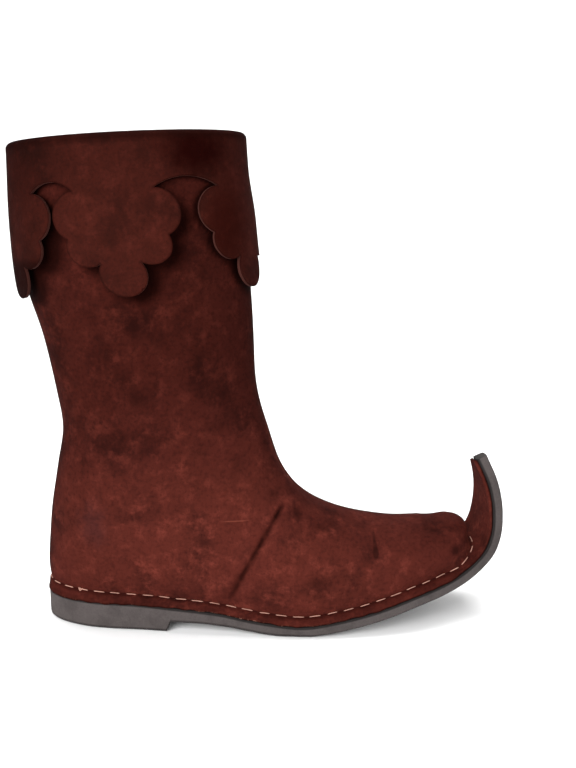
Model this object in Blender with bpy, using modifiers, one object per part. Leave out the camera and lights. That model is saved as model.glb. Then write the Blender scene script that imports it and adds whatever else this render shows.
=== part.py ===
"""A side-laced leather boot with a scalloped turned-down cuff and an upturned, pointed toe.

It is the right boot, empty, standing on its sole: +X runs to the toe, +Y to the inner side of the foot
and +Z up. The origin is the middle of the heel's tread on the floor. The sizes below are millimetres,
and their x counts from the back of the heel.
"""

import math

import bmesh
import bpy
import numpy as np
from mathutils import Vector
from mathutils.geometry import delaunay_2d_cdt

MM = 0.001
BOOT = "side_lace_boot"

# Sizes that drive the whole boot
HEEL_CENTRE = 40.0  # from the back of the heel to the origin
GAP = 0.3  # between pieces that touch
LEATHER = 2.2  # wall of the upper
HEEL_ROUND = 60.0  # length of the heel's rounded back, seen from above

# The sole: its top on the centre line from heel to tip, how far it turns inwards, and its half widths
SOLE_COLUMNS = "x z turn lateral medial"
SOLE_ROWS = (
    (0.0, 19.0, 0.0, 34.5, 33.5),
    (30.0, 19.0, 0.0, 34.5, 33.5),
    (60.0, 18.8, 0.0, 35.0, 32.5),
    (90.0, 17.2, 0.0, 38.6, 31.0),
    (120.0, 14.6, 0.0, 41.4, 32.5),
    (150.0, 9.6, 0.0, 44.6, 40.0),
    (180.0, 7.6, 0.0, 46.8, 45.0),
    (201.0, 11.0, 2.0, 45.8, 44.5),
    (224.0, 16.4, 5.0, 43.4, 41.0),
    (248.0, 23.6, 7.0, 39.5, 36.5),
    (266.0, 28.0, 9.0, 34.0, 32.5),
    (281.0, 32.6, 10.0, 28.0, 27.5),
    (292.0, 39.0, 10.0, 24.5, 24.5),
    (300.4, 47.0, 10.0, 22.0, 22.0),
    (304.6, 56.5, 10.0, 20.0, 20.0),
    (306.3, 68.0, 10.0, 17.5, 17.5),
    (306.0, 80.0, 10.0, 14.5, 14.5),
    (303.6, 92.5, 10.0, 10.5, 10.5),
    (300.4, 101.5, 10.0, 6.5, 6.5),
    (298.4, 106.5, 10.0, 4.5, 4.5),
)
UNDER_COLUMNS = "x z"  # the tread from the heel to the ball, with the step of the heel's front
UNDER_ROWS = (
    (0.0, 0.0),
    (86.0, 0.0),
    (89.0, 6.6),
    (110.0, 6.2),
    (128.0, 4.6),
    (142.0, 2.4),
    (152.0, 0.8),
    (160.0, 0.0),
    (183.0, 0.0),
)
FOREFOOT_END = 183.0  # past here the sole has one thickness
FOREFOOT_THICKNESS = 7.7
TREAD_ROUND = 3.0  # rounding of the sole's lower edge
HEEL_STATIONS = (2, 12, 24, 38, 54, 72, 90)  # degrees round the back of the heel
SOLE_STATIONS = (73, 86, 89, 100, 110, 119, 128, 142, 152, 160, 172, 183)
CURL_STATIONS = 26

# The margin: the upper's lower edge, turned out and stitched down on the sole
MARGIN = 5.0  # from the sole's edge in to the stitched groove
HEEL_MARGIN = 2.0  # the same at the back of the heel
EDGE_INSET = 0.4
MARGIN_GAP = 0.5  # over the flat facets of the sole's curl
FEATHER_RISE = 5.6  # groove above the sole
HEEL_LIFT = 2.4  # more than that at the back of the heel
MARGIN_SLOPE = 8.0
MARGIN_STEPS = (0.14, 0.32, 0.54, 0.77, 1.0)
TOE_SIDE = 272.0  # along the sole, where the groove starts round the toe
TOE_FRONT = 308.0

# Sections of the foot, from the toe to the heel: ridge, place of the base along the sole, half widths
FOOT_COLUMNS = "front_x front_y front_z base lateral medial rise"
FOOT_ROWS = (
    (284.5, 9.0, 62.0, 266.0, 30.5, 29.0, 0.28),
    (264.0, 7.0, 65.6, 245.0, 37.2, 34.2, 0.28),
    (238.0, 5.0, 66.2, 220.0, 41.5, 38.5, 0.30),
    (205.0, 3.0, 72.8, 188.0, 45.5, 43.0, 0.30),
    (180.0, 2.0, 84.5, 158.0, 44.5, 41.0, 0.32),
    (163.0, 1.0, 105.0, 115.0, 40.5, 36.5, 0.36),
    (153.0, 0.5, 134.0, 62.0, 38.5, 37.0, 0.38),
    (147.5, 0.0, 154.0, 26.0, 39.5, 38.5, 0.45),
    (145.0, 0.0, 171.0, HEEL_MARGIN, 41.0, 40.0, 0.50),
)
FOOT_STEPS = 2
HEEL_STEPS = 5

# Sections of the shaft, from the heel to the collar: front, back, half widths
SHAFT_COLUMNS = "front_x front_z back_x back_z lateral medial rise"
SHAFT_ROWS = (
    (145.0, 171.0, 2.0, 26.8, 41.0, 40.0, 0.50),
    (144.6, 181.0, 0.9, 38.0, 41.5, 40.5, 0.50),
    (144.3, 191.0, 2.4, 58.0, 42.0, 41.0, 0.50),
    (144.0, 201.0, 5.4, 82.0, 43.0, 42.0, 0.50),
    (143.6, 211.0, 11.2, 111.0, 44.5, 43.5, 0.50),
    (143.0, 222.0, 14.7, 138.0, 46.0, 45.0, 0.50),
    (142.2, 236.0, 11.4, 162.0, 48.0, 47.0, 0.50),
    (141.0, 256.0, 4.8, 196.0, 50.0, 49.0, 0.50),
    (139.8, 280.0, -4.6, 230.0, 51.5, 50.5, 0.50),
    (138.6, 304.6, -9.2, 271.0, 52.5, 51.5, 0.50),
    (138.0, 322.0, -10.6, 314.5, 53.0, 52.0, 0.50),
)
SHAFT_STEPS = 2
COLUMNS = 12  # on each side, from the ridge to the base

# Lacing on the inner side
SLIT_BOTTOM = (90.5, 66.0)
SLIT_TOP = (60.0, 240.0)
SLIT_BOTTOM_HALF = 1.0
SLIT_TOP_HALF = 3.6
SLIT_CUT = (15.0, 80.0)  # inwards and outwards ends of the cut
EYELET_PAIRS = 6
FIRST_EYELET_Z = 80.0
EYELET_PITCH = 24.0
EYELET_OUT = 12.5  # from the slit's middle
EYELET_BORE = 2.1
EYELET_BARREL = 2.9
EYELET_FLANGE = 4.0
EYELET_PROUD = 0.9
EYELET_SIDES = 10
EYELET_CHAMFER = 0.7
HOLE_LENGTH = 17.0  # of the cutters through the wall
LACE_RADIUS = 1.2

# Gusset behind the slit
TONGUE_HALF = 21.0
TONGUE_BOTTOM = 62.0
TONGUE_TOP = 252.0
TONGUE_THICKNESS = 1.6
TONGUE_GAP = 0.9  # inside the wall's flat facets
TONGUE_GRID = (5, 12)

# Insole
INSOLE_INSET = 6.8
INSOLE_HEEL_INSET = 5.0
INSOLE_THICKNESS = 2.4
INSOLE_STATIONS = 30
INSOLE_TOE = 299.0
INSOLE_END = 0.5  # half width at its blunt ends
INSOLE_START = 0.06  # share of the half turn left off at the heel

# The cuff: a strip folded over the collar and hanging outside in five lobed pendants
CUFF_LEATHER = 2.0
CUFF_PENDANTS = (24.0, 99.5, 185.5, 265.0, 345.0)  # along the collar, from its back round the outer side
CUFF_LIP = 12.0  # depth of the fold inside
CUFF_FLARE_BACK = 4.5
CUFF_FLARE_SIDE = 6.0
CUFF_FLARE_FRONT = 3.5
CUFF_LENGTH = 93.5
CUFF_NET = 9.0  # spacing of the points along the collar
CUFF_DROP = 14.0  # spacing of the points down the strip
CUFF_GAP = 0.55  # between the collar and the flat facets of the strip round it
LIP_GAP = 0.95  # the same inside, where the collar's facets stand in
CUFF_FOLD_STEPS = 4
CUFF_LEAN = 1.2  # power of the stand-off down the strip
COLLAR_SAMPLES = (145, 61)  # round the collar and down it
COLLAR_ROWS = 6  # rows of the shaft that the strip covers
# Half a pendant's edge, from its neck down: across, depth, bulge of the arc to the next point
LOBE_COLUMNS = "across depth bulge steps"
LOBE_ROWS = (
    (23.5, 29.5, 11.0, 6),
    (29.0, 57.5, 8.5, 5),
    (11.5, 73.0, 20.5, 8),
)
ARCH_RISE = 6.0
ARCH_STEPS = 5

# Colours: red, green, blue, roughness, metallic
FINISHES = {
    "nubuck": (0.115, 0.027, 0.021, 0.92, 0.0),
    "cuff_nubuck": (0.075, 0.019, 0.015, 0.92, 0.0),
    "rubber": (0.105, 0.095, 0.085, 0.80, 0.0),
    "insole_leather": (0.230, 0.130, 0.085, 0.85, 0.0),
    "gusset_leather": (0.060, 0.018, 0.015, 0.90, 0.0),
    "eyelet_nickel": (0.560, 0.540, 0.500, 0.35, 1.0),
    "lace_cord": (0.045, 0.018, 0.014, 0.90, 0.0),
}


def table(columns, rows):
    """Rows as one array for each named column."""
    return {name: np.array(column, float) for name, column in zip(columns.split(), zip(*rows))}


SOLE = table(SOLE_COLUMNS, SOLE_ROWS)
UNDER = table(UNDER_COLUMNS, UNDER_ROWS)
FOOT = table(FOOT_COLUMNS, FOOT_ROWS)
SHAFT = table(SHAFT_COLUMNS, SHAFT_ROWS)
LOBES = table(LOBE_COLUMNS, LOBE_ROWS)
FOOT_LAST = len(FOOT_ROWS) - 1
SHAFT_LAST = len(SHAFT_ROWS) - 1
SHAFT["front_y"] = np.zeros(SHAFT_LAST + 1)
WALL_COLUMNS = "front_x front_y front_z lateral medial rise"
WALL = {name: np.concatenate([FOOT[name], SHAFT[name][1:]]) for name in WALL_COLUMNS.split()}


def smooth(knots, values, at, still=None):
    """Cubic through the values at the knots, with each slope taken from the neighbours, and 0 at knot still."""
    slope = np.gradient(values, knots)
    if still is not None:
        slope[still] = 0.0
    at = np.clip(at, knots[0], knots[-1])
    i = np.clip(np.searchsorted(knots, at, side="right") - 1, 0, len(knots) - 2)
    span = knots[i + 1] - knots[i]
    t = (at - knots[i]) / span
    rise = values[i + 1] - values[i]
    start = slope[i] * span - rise
    end = rise - slope[i + 1] * span
    return values[i] + t * rise + t * (1 - t) * (start * (1 - t) + end * t)


def unit(vectors):
    return vectors / np.linalg.norm(vectors, axis=-1, keepdims=True)


# Sole chart: a place along the sole, across it and above its top

RUN = np.concatenate([[0.0], np.cumsum(np.hypot(np.diff(SOLE["x"]), np.diff(SOLE["z"])))])
TIP = RUN[-1]
MEAN_TURN = np.radians(SOLE["turn"][1:] + SOLE["turn"][:-1]) / 2
SWING = np.concatenate([[0.0], np.cumsum(np.tan(MEAN_TURN) * np.diff(SOLE["x"]))])


def sole_centre(run):
    """Point on the centre line of the sole's top."""
    places = (smooth(RUN, values, run) for values in (SOLE["x"], SWING, SOLE["z"]))
    return np.stack(list(places), axis=-1)


def sole_point(run, across, rise):
    """Point of the sole chart: along the sole, across it (inwards positive) and above its top."""
    run, across, rise = np.broadcast_arrays(*(np.asarray(v, float) for v in (run, across, rise)))
    ahead = sole_centre(run + 0.5) - sole_centre(run - 0.5)
    pitch = np.arctan2(ahead[..., 2], ahead[..., 0])
    turn = np.radians(smooth(RUN, SOLE["turn"], run))
    side = np.stack([-np.sin(turn), np.cos(turn), 0 * turn], axis=-1)
    lean = np.sin(pitch)
    up = np.stack([-lean * np.cos(turn), -lean * np.sin(turn), np.cos(pitch)], axis=-1)
    return sole_centre(run) + side * across[..., None] + up * rise[..., None]


def sole_half(run, side, inset=0.0, heel_inset=0.0):
    """Half width of the sole's outline drawn in at its sides and at the back of the heel.

    The side is -1 outside, +1 inside the foot.
    """
    width = smooth(RUN, SOLE["lateral" if side < 0 else "medial"], run) - inset
    back = np.clip((HEEL_ROUND - run) / (HEEL_ROUND - heel_inset), 0.0, 1.0)
    return width * np.sqrt(1 - back**2)


def groove_half(run, side):
    return sole_half(run, side, MARGIN, HEEL_MARGIN)


def groove_rise(run):
    """Height of the stitched groove above the sole, lifted round the heel."""
    return FEATHER_RISE + HEEL_LIFT * np.clip(1 - run / HEEL_ROUND, 0.0, 1.0) ** 2


def under(run):
    """Height of the tread, from the rounded back of the heel to the ball."""
    back = np.clip(1 - run / TREAD_ROUND, 0.0, 1.0)
    return np.interp(run, UNDER["x"], UNDER["z"]) + TREAD_ROUND * (1 - np.sqrt(1 - back**2))


# The upper's wall: a fan of sections, each from a ridge or front point to a base or back point


def at_row(values, row, still=None):
    return smooth(np.arange(float(len(values))), values, row, still)


def base_run(row):
    """Place along the sole of a foot section's base, which slows down to the back of the heel."""
    return at_row(FOOT["base"], row, FOOT_LAST)


def wall_section(row):
    """Front, widest half widths and height of the widest place, at a row counted from the toe to the collar."""
    at = {name: at_row(values, row) for name, values in WALL.items()}
    front = np.array([at["front_x"], at["front_y"], at["front_z"]])
    return front, {-1: at["lateral"], 1: at["medial"]}, at["rise"]


def foot_section(row):
    """Front, base, base half widths, widest half widths and height of the widest place."""
    front, widest, rise = wall_section(row)
    run = base_run(row)
    ends = {side: groove_half(run, side) for side in (-1, 1)}
    return front, sole_point(run, 0.0, groove_rise(run)), ends, widest, rise


def shaft_section(row):
    """The same for a closed section, whose two ends meet on the back line."""
    front, widest, rise = wall_section(FOOT_LAST + row)
    base = np.array([at_row(SHAFT["back_x"], row, 0), 0.0, at_row(SHAFT["back_z"], row, 0)])
    return front, base, {-1: 0.0, 1: 0.0}, widest, rise


def on_section(section, turn):
    """Point of a section: turn 0 is the front, -1 the outer base, +1 the inner base."""
    front, base, ends, widest, rise = section
    side = -1 if turn < 0 else 1
    low = math.acos(min(ends[side] / widest[side], 1.0))
    angle = math.pi / 2 - abs(turn) * (math.pi / 2 + low)
    if angle >= 0:
        along = rise + (1 - rise) * math.sin(angle)
    else:
        along = rise * (1 + math.sin(angle) / math.sin(low))
    point = base + (front - base) * along
    point[1] += side * widest[side] * math.cos(angle)
    return point


def shaft_point(row, turn):
    return on_section(shaft_section(row), turn)


WALL_SECTIONS = [foot_section(row) for row in np.arange(4.0, FOOT_LAST, 0.05)]
WALL_SECTIONS += [shaft_section(row) for row in np.arange(0.0, SHAFT_LAST, 0.05)]
WALL_BASES = np.array([base[[0, 2]] for _, base, _, _, _ in WALL_SECTIONS])
WALL_REACHES = np.array([front[[0, 2]] for front, _, _, _, _ in WALL_SECTIONS]) - WALL_BASES


def wall_point(x, z):
    """Point of the inner side's wall at a place seen from the side."""
    place = np.array([x, z]) - WALL_BASES
    cross = WALL_REACHES[:, 0] * place[:, 1] - WALL_REACHES[:, 1] * place[:, 0]
    nearest = np.argmin(np.abs(cross) / np.hypot(*WALL_REACHES.T))
    reach = WALL_REACHES[nearest]
    along = place[nearest] @ reach / (reach @ reach)
    _, _, ends, widest, rise = WALL_SECTIONS[nearest]
    low = math.sqrt(1 - min(ends[1] / widest[1], 1.0) ** 2)
    level = (along - rise) / (1 - rise) if along > rise else low * (along - rise) / rise
    return np.array([x, widest[1] * math.sqrt(max(0.0, 1 - level**2)), z])


def wall_normal(x, z, reach=3.0):
    """Outward direction of the inner side's wall."""
    forward = wall_point(x + reach, z) - wall_point(x - reach, z)
    upward = wall_point(x, z + reach) - wall_point(x, z - reach)
    return unit(np.cross(upward, forward))


# Objects


def collection(name):
    made = bpy.data.collections.new(name)
    bpy.context.scene.collection.children.link(made)
    return made


def material(name):
    red, green, blue, roughness, metallic = FINISHES[name]
    made = bpy.data.materials.new(name)
    made.use_nodes = True
    shader = made.node_tree.nodes["Principled BSDF"]
    shader.inputs["Base Color"].default_value = (red, green, blue, 1.0)
    shader.inputs["Roughness"].default_value = roughness
    shader.inputs["Metallic"].default_value = metallic
    return made


def to_world(point):
    """A place in the boot's own millimetres as a place in the scene."""
    return Vector(((point[0] - HEEL_CENTRE) * MM, point[1] * MM, point[2] * MM))


def mesh_object(name, bm, where, finish=None, angle=40):
    """An object made of a mesh, shaded smooth up to an angle in degrees."""
    mesh = bpy.data.meshes.new(name)
    bm.to_mesh(mesh)
    bm.free()
    mesh.shade_smooth()
    mesh.set_sharp_from_angle(angle=math.radians(angle))
    made = bpy.data.objects.new(name, mesh)
    where.objects.link(made)
    if finish:
        mesh.materials.append(material(finish))
    return made


def add_points(bm, points):
    return [bm.verts.new(to_world(point)) for point in points]


def add_quads(bm, first, second):
    """Quads between two rows of vertices, leaving out corners that coincide."""
    for i in range(len(first) - 1):
        corners = (first[i], first[i + 1], second[i + 1], second[i])
        bm.faces.new(list(dict.fromkeys(corners)))


def loft(name, sections, where, finish, angle=40):
    """A closed body through closed sections, with its two ends filled."""
    bm = bmesh.new()
    rings = [add_points(bm, section) for section in sections]
    for ring, following in zip(rings, rings[1:]):
        add_quads(bm, ring + ring[:1], following + following[:1])
    bm.faces.new(rings[0])
    bm.faces.new(rings[-1])
    bmesh.ops.recalc_face_normals(bm, faces=bm.faces[:])
    return mesh_object(name, bm, where, finish, angle)


def as_cutter(made):
    made.hide_render = True
    made.display_type = "WIRE"
    return made


def add_boolean(made, operation, other):
    cut = made.modifiers.new(operation.title(), "BOOLEAN")
    cut.operation = operation
    cut.solver = "EXACT"
    cut.object = other


def make_outsole(where):
    """One-piece sole: heel with its step, arched waist, flat ball and the toe curled up to a narrow tip."""
    heel = HEEL_ROUND * (1 - np.cos(np.radians(HEEL_STATIONS)))
    curl = np.linspace(FOREFOOT_END, TIP, CURL_STATIONS)[1:]
    sections = []
    for run in np.concatenate([heel, SOLE_STATIONS, curl]):
        halves = [sole_half(run, side) for side in (-1, 1)]
        if run <= FOREFOOT_END:
            thickness = sole_centre(run)[2] - under(run)
            lift = TREAD_ROUND
        else:
            thickness = FOREFOOT_THICKNESS
            lift = TREAD_ROUND / 2
        tuck = min(TREAD_ROUND, halves[0] / 2)
        profile = [(-halves[0], 0), (-halves[0], lift - thickness), (tuck - halves[0], -thickness)]
        profile += [(halves[1] - tuck, -thickness), (halves[1], lift - thickness), (halves[1], 0)]
        if run <= FOREFOOT_END:
            centre = sole_centre(run)
            sections.append([centre + np.array([0, across, rise]) for across, rise in profile])
        else:
            sections.append([sole_point(run, across, rise) for across, rise in profile])
    return loft("outsole", sections, where, "rubber", 30)


def make_insole(where):
    """Thin leather insole on the sole's top, inside the stitched groove."""
    turn = np.linspace(INSOLE_START, 1.0, INSOLE_STATIONS)
    low, high = GAP, GAP + INSOLE_THICKNESS
    sections = []
    for run in INSOLE_HEEL_INSET + (INSOLE_TOE - INSOLE_HEEL_INSET) * (1 - np.cos(np.pi * turn)) / 2:
        toe = max(0.0, (run - TOE_SIDE) / (INSOLE_TOE - TOE_SIDE))
        round_toe = math.sqrt(1 - toe**2)
        halves = [sole_half(run, side, INSOLE_INSET, INSOLE_HEEL_INSET) * round_toe for side in (-1, 1)]
        halves = [max(half, INSOLE_END) for half in halves]
        profile = [(-halves[0], low), (-halves[0], high), (halves[1], high), (halves[1], low)]
        sections.append([sole_point(run, across, rise) for across, rise in profile])
    return loft("insole", sections, where, "insole_leather")


def margin_edge(run, turn):
    """Outer end of the margin, as a place along and across the sole, for a place of the stitched groove.

    On the sides it lies straight out. Round the toe the places spread up the curl to the tip.
    """
    if turn is None:
        scale = (HEEL_ROUND - EDGE_INSET) / (HEEL_ROUND - HEEL_MARGIN)
        return HEEL_ROUND - (HEEL_ROUND - run) * scale if run < HEEL_ROUND else run
    corner = 1 / COLUMNS
    return TOE_SIDE + (TIP - EDGE_INSET - TOE_SIDE) * min(1.0, (1 - abs(turn)) / (1 - corner))


def margin_places(rows):
    """The stitched groove and the margin's outer edge round the boot, as pairs of places on the sole."""
    bases = [base_run(row) for row in rows]

    def on_side(run, side):
        out = margin_edge(run, None)
        edge = sole_half(out, side, EDGE_INSET, EDGE_INSET)
        return (run, side * groove_half(run, side)), (out, side * edge)

    places = [on_side(run, -1) for run in reversed(bases)]
    for turn in np.linspace(-1, 1, 2 * COLUMNS + 1):
        side = -1 if turn < 0 else 1
        bend = turn * math.pi / 2
        groove = (
            TOE_SIDE + (TOE_FRONT - TOE_SIDE) * math.cos(bend),
            sole_half(TOE_SIDE, side, MARGIN) * math.sin(bend),
        )
        out = margin_edge(None, turn)
        reach = min(1.0, abs(turn) * COLUMNS)
        places.append((groove, (out, side * reach * sole_half(out, side, EDGE_INSET))))
    places += [on_side(run, 1) for run in bases[:-1]]
    return np.array(places)


def margin_row(places, share):
    """Points of the margin at a share of its width."""
    groove, edge = places[:, 0], places[:, 1]
    at = groove + (edge - groove) * share
    away = share * np.linalg.norm(edge - groove, axis=1)
    low = LEATHER + MARGIN_GAP
    rise = low + (groove_rise(groove[:, 0]) - low) * np.clip(1 - away / MARGIN_SLOPE, 0, 1) ** 1.6
    return sole_point(at[:, 0], at[:, 1], rise)


def make_upper(where, cutters):
    """Vamp and shaft as one hollow wall, with the margin turned out below and the slit on the inner side."""
    turns = np.linspace(-1, 1, 2 * COLUMNS + 1)
    foot_rows = list(np.arange(0, FOOT_LAST - 1, 1 / FOOT_STEPS))
    foot_rows += list(np.linspace(FOOT_LAST - 1, FOOT_LAST, HEEL_STEPS + 1))
    shaft_rows = np.arange(0, SHAFT_LAST + 1e-6, 1 / SHAFT_STEPS)[1:]

    bm = bmesh.new()
    places = margin_places(foot_rows)
    loops = [add_points(bm, margin_row(places, share)) for share in (0.0,) + MARGIN_STEPS]
    for loop, outer in zip(loops, loops[1:]):
        add_quads(bm, loop + loop[:1], outer + outer[:1])

    groove = loops[0]
    count = len(foot_rows)
    toe = groove[count : count + len(turns)]
    outer_side = groove[:count][::-1]
    inner_side = groove[count + len(turns) :] + [groove[0]]
    grid = [toe]
    for row, left, right in zip(foot_rows, outer_side, inner_side):
        section = foot_section(row)
        between = add_points(bm, [on_section(section, turn) for turn in turns[1:-1]])
        grid.append([left] + between + [right])
    for row in shaft_rows:
        section = shaft_section(row)
        ring = add_points(bm, [on_section(section, turn) for turn in turns[:-1]])
        grid.append(ring + ring[:1])
    for first, second in zip(grid, grid[1:]):
        add_quads(bm, second, first)
    bmesh.ops.recalc_face_normals(bm, faces=bm.faces[:])

    upper = mesh_object("upper", bm, where, "nubuck", 60)
    shell = upper.modifiers.new("Wall", "SOLIDIFY")
    shell.thickness = LEATHER * MM
    shell.offset = -1.0
    shell.use_even_offset = True
    add_boolean(upper, "DIFFERENCE", make_slit_cutter(cutters))
    for cutter in make_eyelet_holes(cutters):
        add_boolean(upper, "DIFFERENCE", cutter)
    return upper


# Lacing


def slit_place(z):
    """Middle of the slit at a height, seen from the side."""
    share = (z - SLIT_BOTTOM[1]) / (SLIT_TOP[1] - SLIT_BOTTOM[1])
    return SLIT_BOTTOM[0] + share * (SLIT_TOP[0] - SLIT_BOTTOM[0])


SLIT_ALONG = unit(np.array(SLIT_TOP) - np.array(SLIT_BOTTOM))
SLIT_FORWARD = np.array([SLIT_ALONG[1], -SLIT_ALONG[0]])


def eyelet_places():
    """Each eyelet's name with its place seen from the side."""
    for pair in range(EYELET_PAIRS):
        z = FIRST_EYELET_Z + pair * EYELET_PITCH
        middle = np.array([slit_place(z), z])
        yield f"eyelet_front_{pair + 1}", middle + SLIT_FORWARD * EYELET_OUT
        yield f"eyelet_rear_{pair + 1}", middle - SLIT_FORWARD * EYELET_OUT


def make_slit_cutter(cutters):
    """A tapered prism through the inner side only."""
    bottom, top = np.array(SLIT_BOTTOM), np.array(SLIT_TOP)
    outline = (
        bottom - SLIT_FORWARD * SLIT_BOTTOM_HALF,
        bottom + SLIT_FORWARD * SLIT_BOTTOM_HALF,
        top + SLIT_FORWARD * SLIT_TOP_HALF,
        top - SLIT_FORWARD * SLIT_TOP_HALF,
    )
    sections = [[(x, y, z) for x, z in outline] for y in SLIT_CUT]
    return as_cutter(loft("slit_cutter", sections, cutters, None))


def turned_ring(name, profile, place, where, finish):
    """A ring turned about the wall's outward direction, from a closed profile of radius and height."""
    x, z = place
    outward = wall_normal(x, z)
    centre = wall_point(x, z)
    sideways = unit(np.cross(outward, [0.0, 0.0, 1.0]))
    upward = np.cross(sideways, outward)
    bm = bmesh.new()
    rings = []
    for step in range(EYELET_SIDES):
        angle = 2 * math.pi * step / EYELET_SIDES
        spoke = math.cos(angle) * sideways + math.sin(angle) * upward
        ring = [centre + spoke * radius + outward * height for radius, height in profile]
        rings.append(add_points(bm, ring))
    for ring, following in zip(rings, rings[1:] + rings[:1]):
        add_quads(bm, ring + ring[:1], following + following[:1])
    bmesh.ops.recalc_face_normals(bm, faces=bm.faces[:])
    return mesh_object(name, bm, where, finish)


def make_eyelet_holes(cutters):
    """A cylinder through the wall at each eyelet."""
    for name, (x, z) in eyelet_places():
        outward = Vector(wall_normal(x, z))
        bm = bmesh.new()
        radius = (EYELET_BARREL + GAP) * MM
        bmesh.ops.create_cone(
            bm, cap_ends=True, segments=EYELET_SIDES, radius1=radius, radius2=radius, depth=HOLE_LENGTH * MM
        )
        made = as_cutter(mesh_object(name + "_hole", bm, cutters))
        made.rotation_euler = outward.to_track_quat("Z", "Y").to_euler()
        made.location = to_world(wall_point(x, z))
        yield made


def make_eyelets(where):
    """Metal eyelets: a flange outside and a barrel through the wall."""
    low, high = GAP, GAP + EYELET_PROUD
    profile = (
        (EYELET_BORE, -LEATHER),
        (EYELET_BARREL, -LEATHER),
        (EYELET_BARREL, low),
        (EYELET_FLANGE, low),
        (EYELET_FLANGE - EYELET_CHAMFER, high),
        (EYELET_BORE + EYELET_CHAMFER, high),
    )
    for name, place in eyelet_places():
        turned_ring(name, profile, place, where, "eyelet_nickel")


def strand(name, names, places, cutters):
    """One strand of the lace over the eyelets, as a mesh tube."""
    proud = 2 * GAP + EYELET_PROUD + LACE_RADIUS
    curve = bpy.data.curves.new(name, "CURVE")
    curve.dimensions = "3D"
    curve.bevel_depth = LACE_RADIUS * MM
    curve.bevel_resolution = 1
    curve.use_fill_caps = True
    spline = curve.splines.new("POLY")
    stops = []
    for first, second in zip(names, names[1:]):
        for share in (0.0, 0.25, 0.5, 0.75):
            stops.append(places[first] + (places[second] - places[first]) * share)
    stops.append(places[names[-1]])
    spline.points.add(len(stops) - 1)
    for point, (x, z) in zip(spline.points, stops):
        point.co = (*to_world(wall_point(x, z) + wall_normal(x, z) * proud), 1.0)
    guide = bpy.data.objects.new(name + "_guide", curve)
    cutters.objects.link(guide)
    graph = bpy.context.evaluated_depsgraph_get()
    mesh = bpy.data.meshes.new_from_object(guide.evaluated_get(graph))
    bpy.data.objects.remove(guide)
    bm = bmesh.new()
    bm.from_mesh(mesh)
    bmesh.ops.remove_doubles(bm, verts=bm.verts[:], dist=0.00001)
    return bm


def make_lace(where, cutters):
    """The lace's crossings: two strands joined where they cross over the slit."""
    places = dict(eyelet_places())
    front = [f"eyelet_front_{pair + 1}" for pair in range(EYELET_PAIRS)]
    rear = [f"eyelet_rear_{pair + 1}" for pair in range(EYELET_PAIRS)]
    zigzag = [pair[i % 2] for i, pair in enumerate(zip(front, rear))]
    zagzig = [pair[(i + 1) % 2] for i, pair in enumerate(zip(front, rear))]
    second = as_cutter(mesh_object("lace_strand", strand("strand", zagzig, places, cutters), cutters))
    lace = mesh_object("lace", strand("lace", zigzag, places, cutters), where, "lace_cord")
    add_boolean(lace, "UNION", second)
    return lace


def make_tongue(where):
    """Gusset leaf inside the wall, behind the slit."""
    columns, rows = TONGUE_GRID
    sections = []
    for z in np.linspace(TONGUE_BOTTOM, TONGUE_TOP, rows + 1):
        places = []
        for share in np.linspace(-1, 1, columns + 1):
            x = slit_place(z) + share * TONGUE_HALF
            outward = wall_normal(x, z)
            places.append((wall_point(x, z), outward))
        outer = [point - outward * (LEATHER + TONGUE_GAP) for point, outward in places]
        inner = [point - outward * (LEATHER + TONGUE_GAP + TONGUE_THICKNESS) for point, outward in places]
        sections.append(outer + inner[::-1])
    return loft("tongue", sections, where, "gusset_leather")


# Cuff


def arc(start, end, bulge, steps):
    """Points after the start, along an arc that stands out from its chord, leftwards for a positive bulge."""
    start, end = np.array(start, float), np.array(end, float)
    chord = end - start
    half = np.linalg.norm(chord) / 2
    side = math.copysign(1.0, bulge)
    radius = (half**2 + bulge**2) / (2 * abs(bulge))
    left = side * np.array([-chord[1], chord[0]]) / (2 * half)
    centre = (start + end) / 2 + left * (abs(bulge) - radius)
    sweep = 2 * math.atan2(half, radius - abs(bulge))
    spoke = start - centre
    points = []
    for step in range(1, steps + 1):
        angle = -side * sweep * step / steps
        turned = (
            spoke[0] * math.cos(angle) - spoke[1] * math.sin(angle),
            spoke[0] * math.sin(angle) + spoke[1] * math.cos(angle),
        )
        points.append(centre + turned)
    return points


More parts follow.
